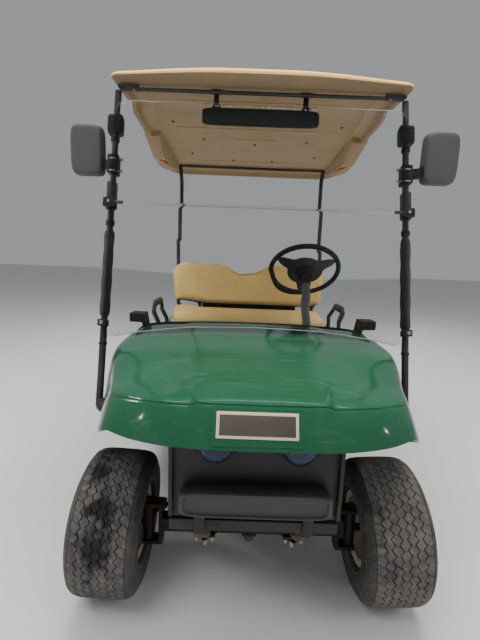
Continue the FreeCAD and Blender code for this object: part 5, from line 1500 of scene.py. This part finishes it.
def rear_details():
    up, out = vec(0, 0.1, 0.995).normalized(), vec(0, 0.995, -0.1).normalized()
    rows = same_shares(5, (-0.004, 1.0), (0.001, 1.0), (0.003, 0.95), (0.0036, 0.86))
    lamps = [loft((side * 0.46, 1.1655, 0.575), 0.055, 0.024, rows, "red", up, out) for side in SIDES]
    piece("tail_lamps", lamps)
    straps = []
    for x in (-0.18, 0.18):
        line = [vec(x + 0.02 * math.sin(t * 3), 1.055 + 0.0155, 0.95 - 0.19 * t)
                for t in np.linspace(0, 1, 20)]
        straps.append(tube(line, 0.014, "foam", 10, flat=0.14, up=Y_AXIS))
        straps.append(box((x - 0.018, x + 0.022), (1.066, 1.0745), (0.845, 0.87), "bolt", 0.002))
    piece("bag_straps", straps)


# Stage

# name, place, aim, width, height, power, whether it shows in gloss and glass
LIGHTS = (
    ("key", (-1.8, -2.6, 4.2), (0.0, -0.3, 0.7), 2.2, 1.6, 92, False),
    ("fill", (2.8, -2.6, 3.0), (0.0, -0.3, 0.7), 1.8, 1.4, 44, False),
    ("over", (0.0, 0.2, 4.6), (0.0, 0.1, 0.0), 3.6, 2.6, 250, False),
    ("low", (-0.4, -3.8, 1.0), (0.0, -0.8, 0.3), 1.8, 0.9, 16, False),
    ("rear", (1.6, 4.6, 3.4), (0.0, 0.6, 0.9), 1.2, 0.5, 40, False),
    ("tube_front", (0.0, -1.6, 4.6), (0.0, -0.4, 0.6), 4.4, 0.05, 22, True),
    ("tube_middle", (0.0, 0.6, 4.6), (0.0, 0.1, 0.4), 4.4, 0.05, 22, True),
    ("tube_rear", (0.0, 3.2, 4.8), (0.0, 0.1, 0.4), 4.4, 0.05, 22, True),
    ("glint_left", (-2.6, -0.1, 2.2), (0.0, -0.5, 0.7), 0.16, 0.12, 7, True),
    ("glint_middle", (0.5, 2.4, 3.9), (0.0, 0.0, 0.4), 0.3, 0.1, 5, True),
    ("glint_front", (-2.3, -1.7, 1.7), (0.0, -0.6, 0.7), 0.1, 0.1, 4, True),
    ("glint_right", (2.5, -1.5, 1.3), (0.0, -0.6, 0.7), 0.08, 0.08, 3, True))


def stage():
    floor = Look("floor", (0.62, 0.62, 0.61), 0.55)
    floor.tint(floor.patches(0.3, 0.7, 1.2, 4, top=0.2), (0.56, 0.56, 0.555))
    floor.bump(floor.noise(60, 3), 0.0004, 0.2)
    mesh = bpy.data.meshes.new("floor")
    mesh.from_pydata([(-14, -10, 0), (14, -10, 0), (14, 18, 0), (-14, 18, 0)], [], [(0, 1, 2, 3)])
    mesh.materials.append(floor.mat)
    new_object(mesh, "floor")
    world = bpy.data.worlds.new("world")
    bpy.context.scene.world = world
    world.use_nodes = True
    color, strength = world.node_tree.nodes["Background"].inputs[:2]
    color.default_value, strength.default_value = (0.8, 0.82, 0.84, 1), 0.42
    for name, at, aim, w, h, power, shines in LIGHTS:
        data = bpy.data.lights.new(name, "AREA")
        data.shape = "RECTANGLE"
        data.size, data.size_y, data.energy = w, h, power
        obj = new_object(data, name)
        obj.visible_glossy = obj.visible_transmission = shines
        obj.visible_camera = False
        obj.location = at
        obj.rotation_mode = "QUATERNION"
        obj.rotation_quaternion = (Vector(aim) - Vector(at)).to_track_quat("-Z", "Y")


def camera():
    """The photo's viewpoint, fitted with the cart's sizes."""
    focal_pixels, photo_height, sensor = 397.9, 640, 36
    yaw, pitch, roll = (math.radians(a) for a in (0.3, 10.13, 2.08))
    ahead = vec(math.sin(yaw) * math.cos(pitch), math.cos(yaw) * math.cos(pitch), -math.sin(pitch))
    right = vec(math.cos(yaw), -math.sin(yaw), 0)
    up = right.cross(ahead)
    across = math.cos(roll) * right + math.sin(roll) * up
    along = -math.sin(roll) * right + math.cos(roll) * up
    data = bpy.data.cameras.new("camera")
    data.sensor_width = sensor
    data.lens = focal_pixels / photo_height * sensor
    data.clip_start, data.clip_end = 0.05, 60
    obj = new_object(data, "camera")
    turn = Matrix((across, along, -ahead)).transposed().to_4x4()
    obj.matrix_world = Matrix.Translation((-0.063, -1.969, 1.155)) @ turn
    bpy.context.scene.camera = obj


for build in (camera, stage, cowl, name_plate, roof, wheels, windshield, struts, mirrors, steering, seat,
              front_end, running_gear, body_panels, dash_details, rear_details):
    build()
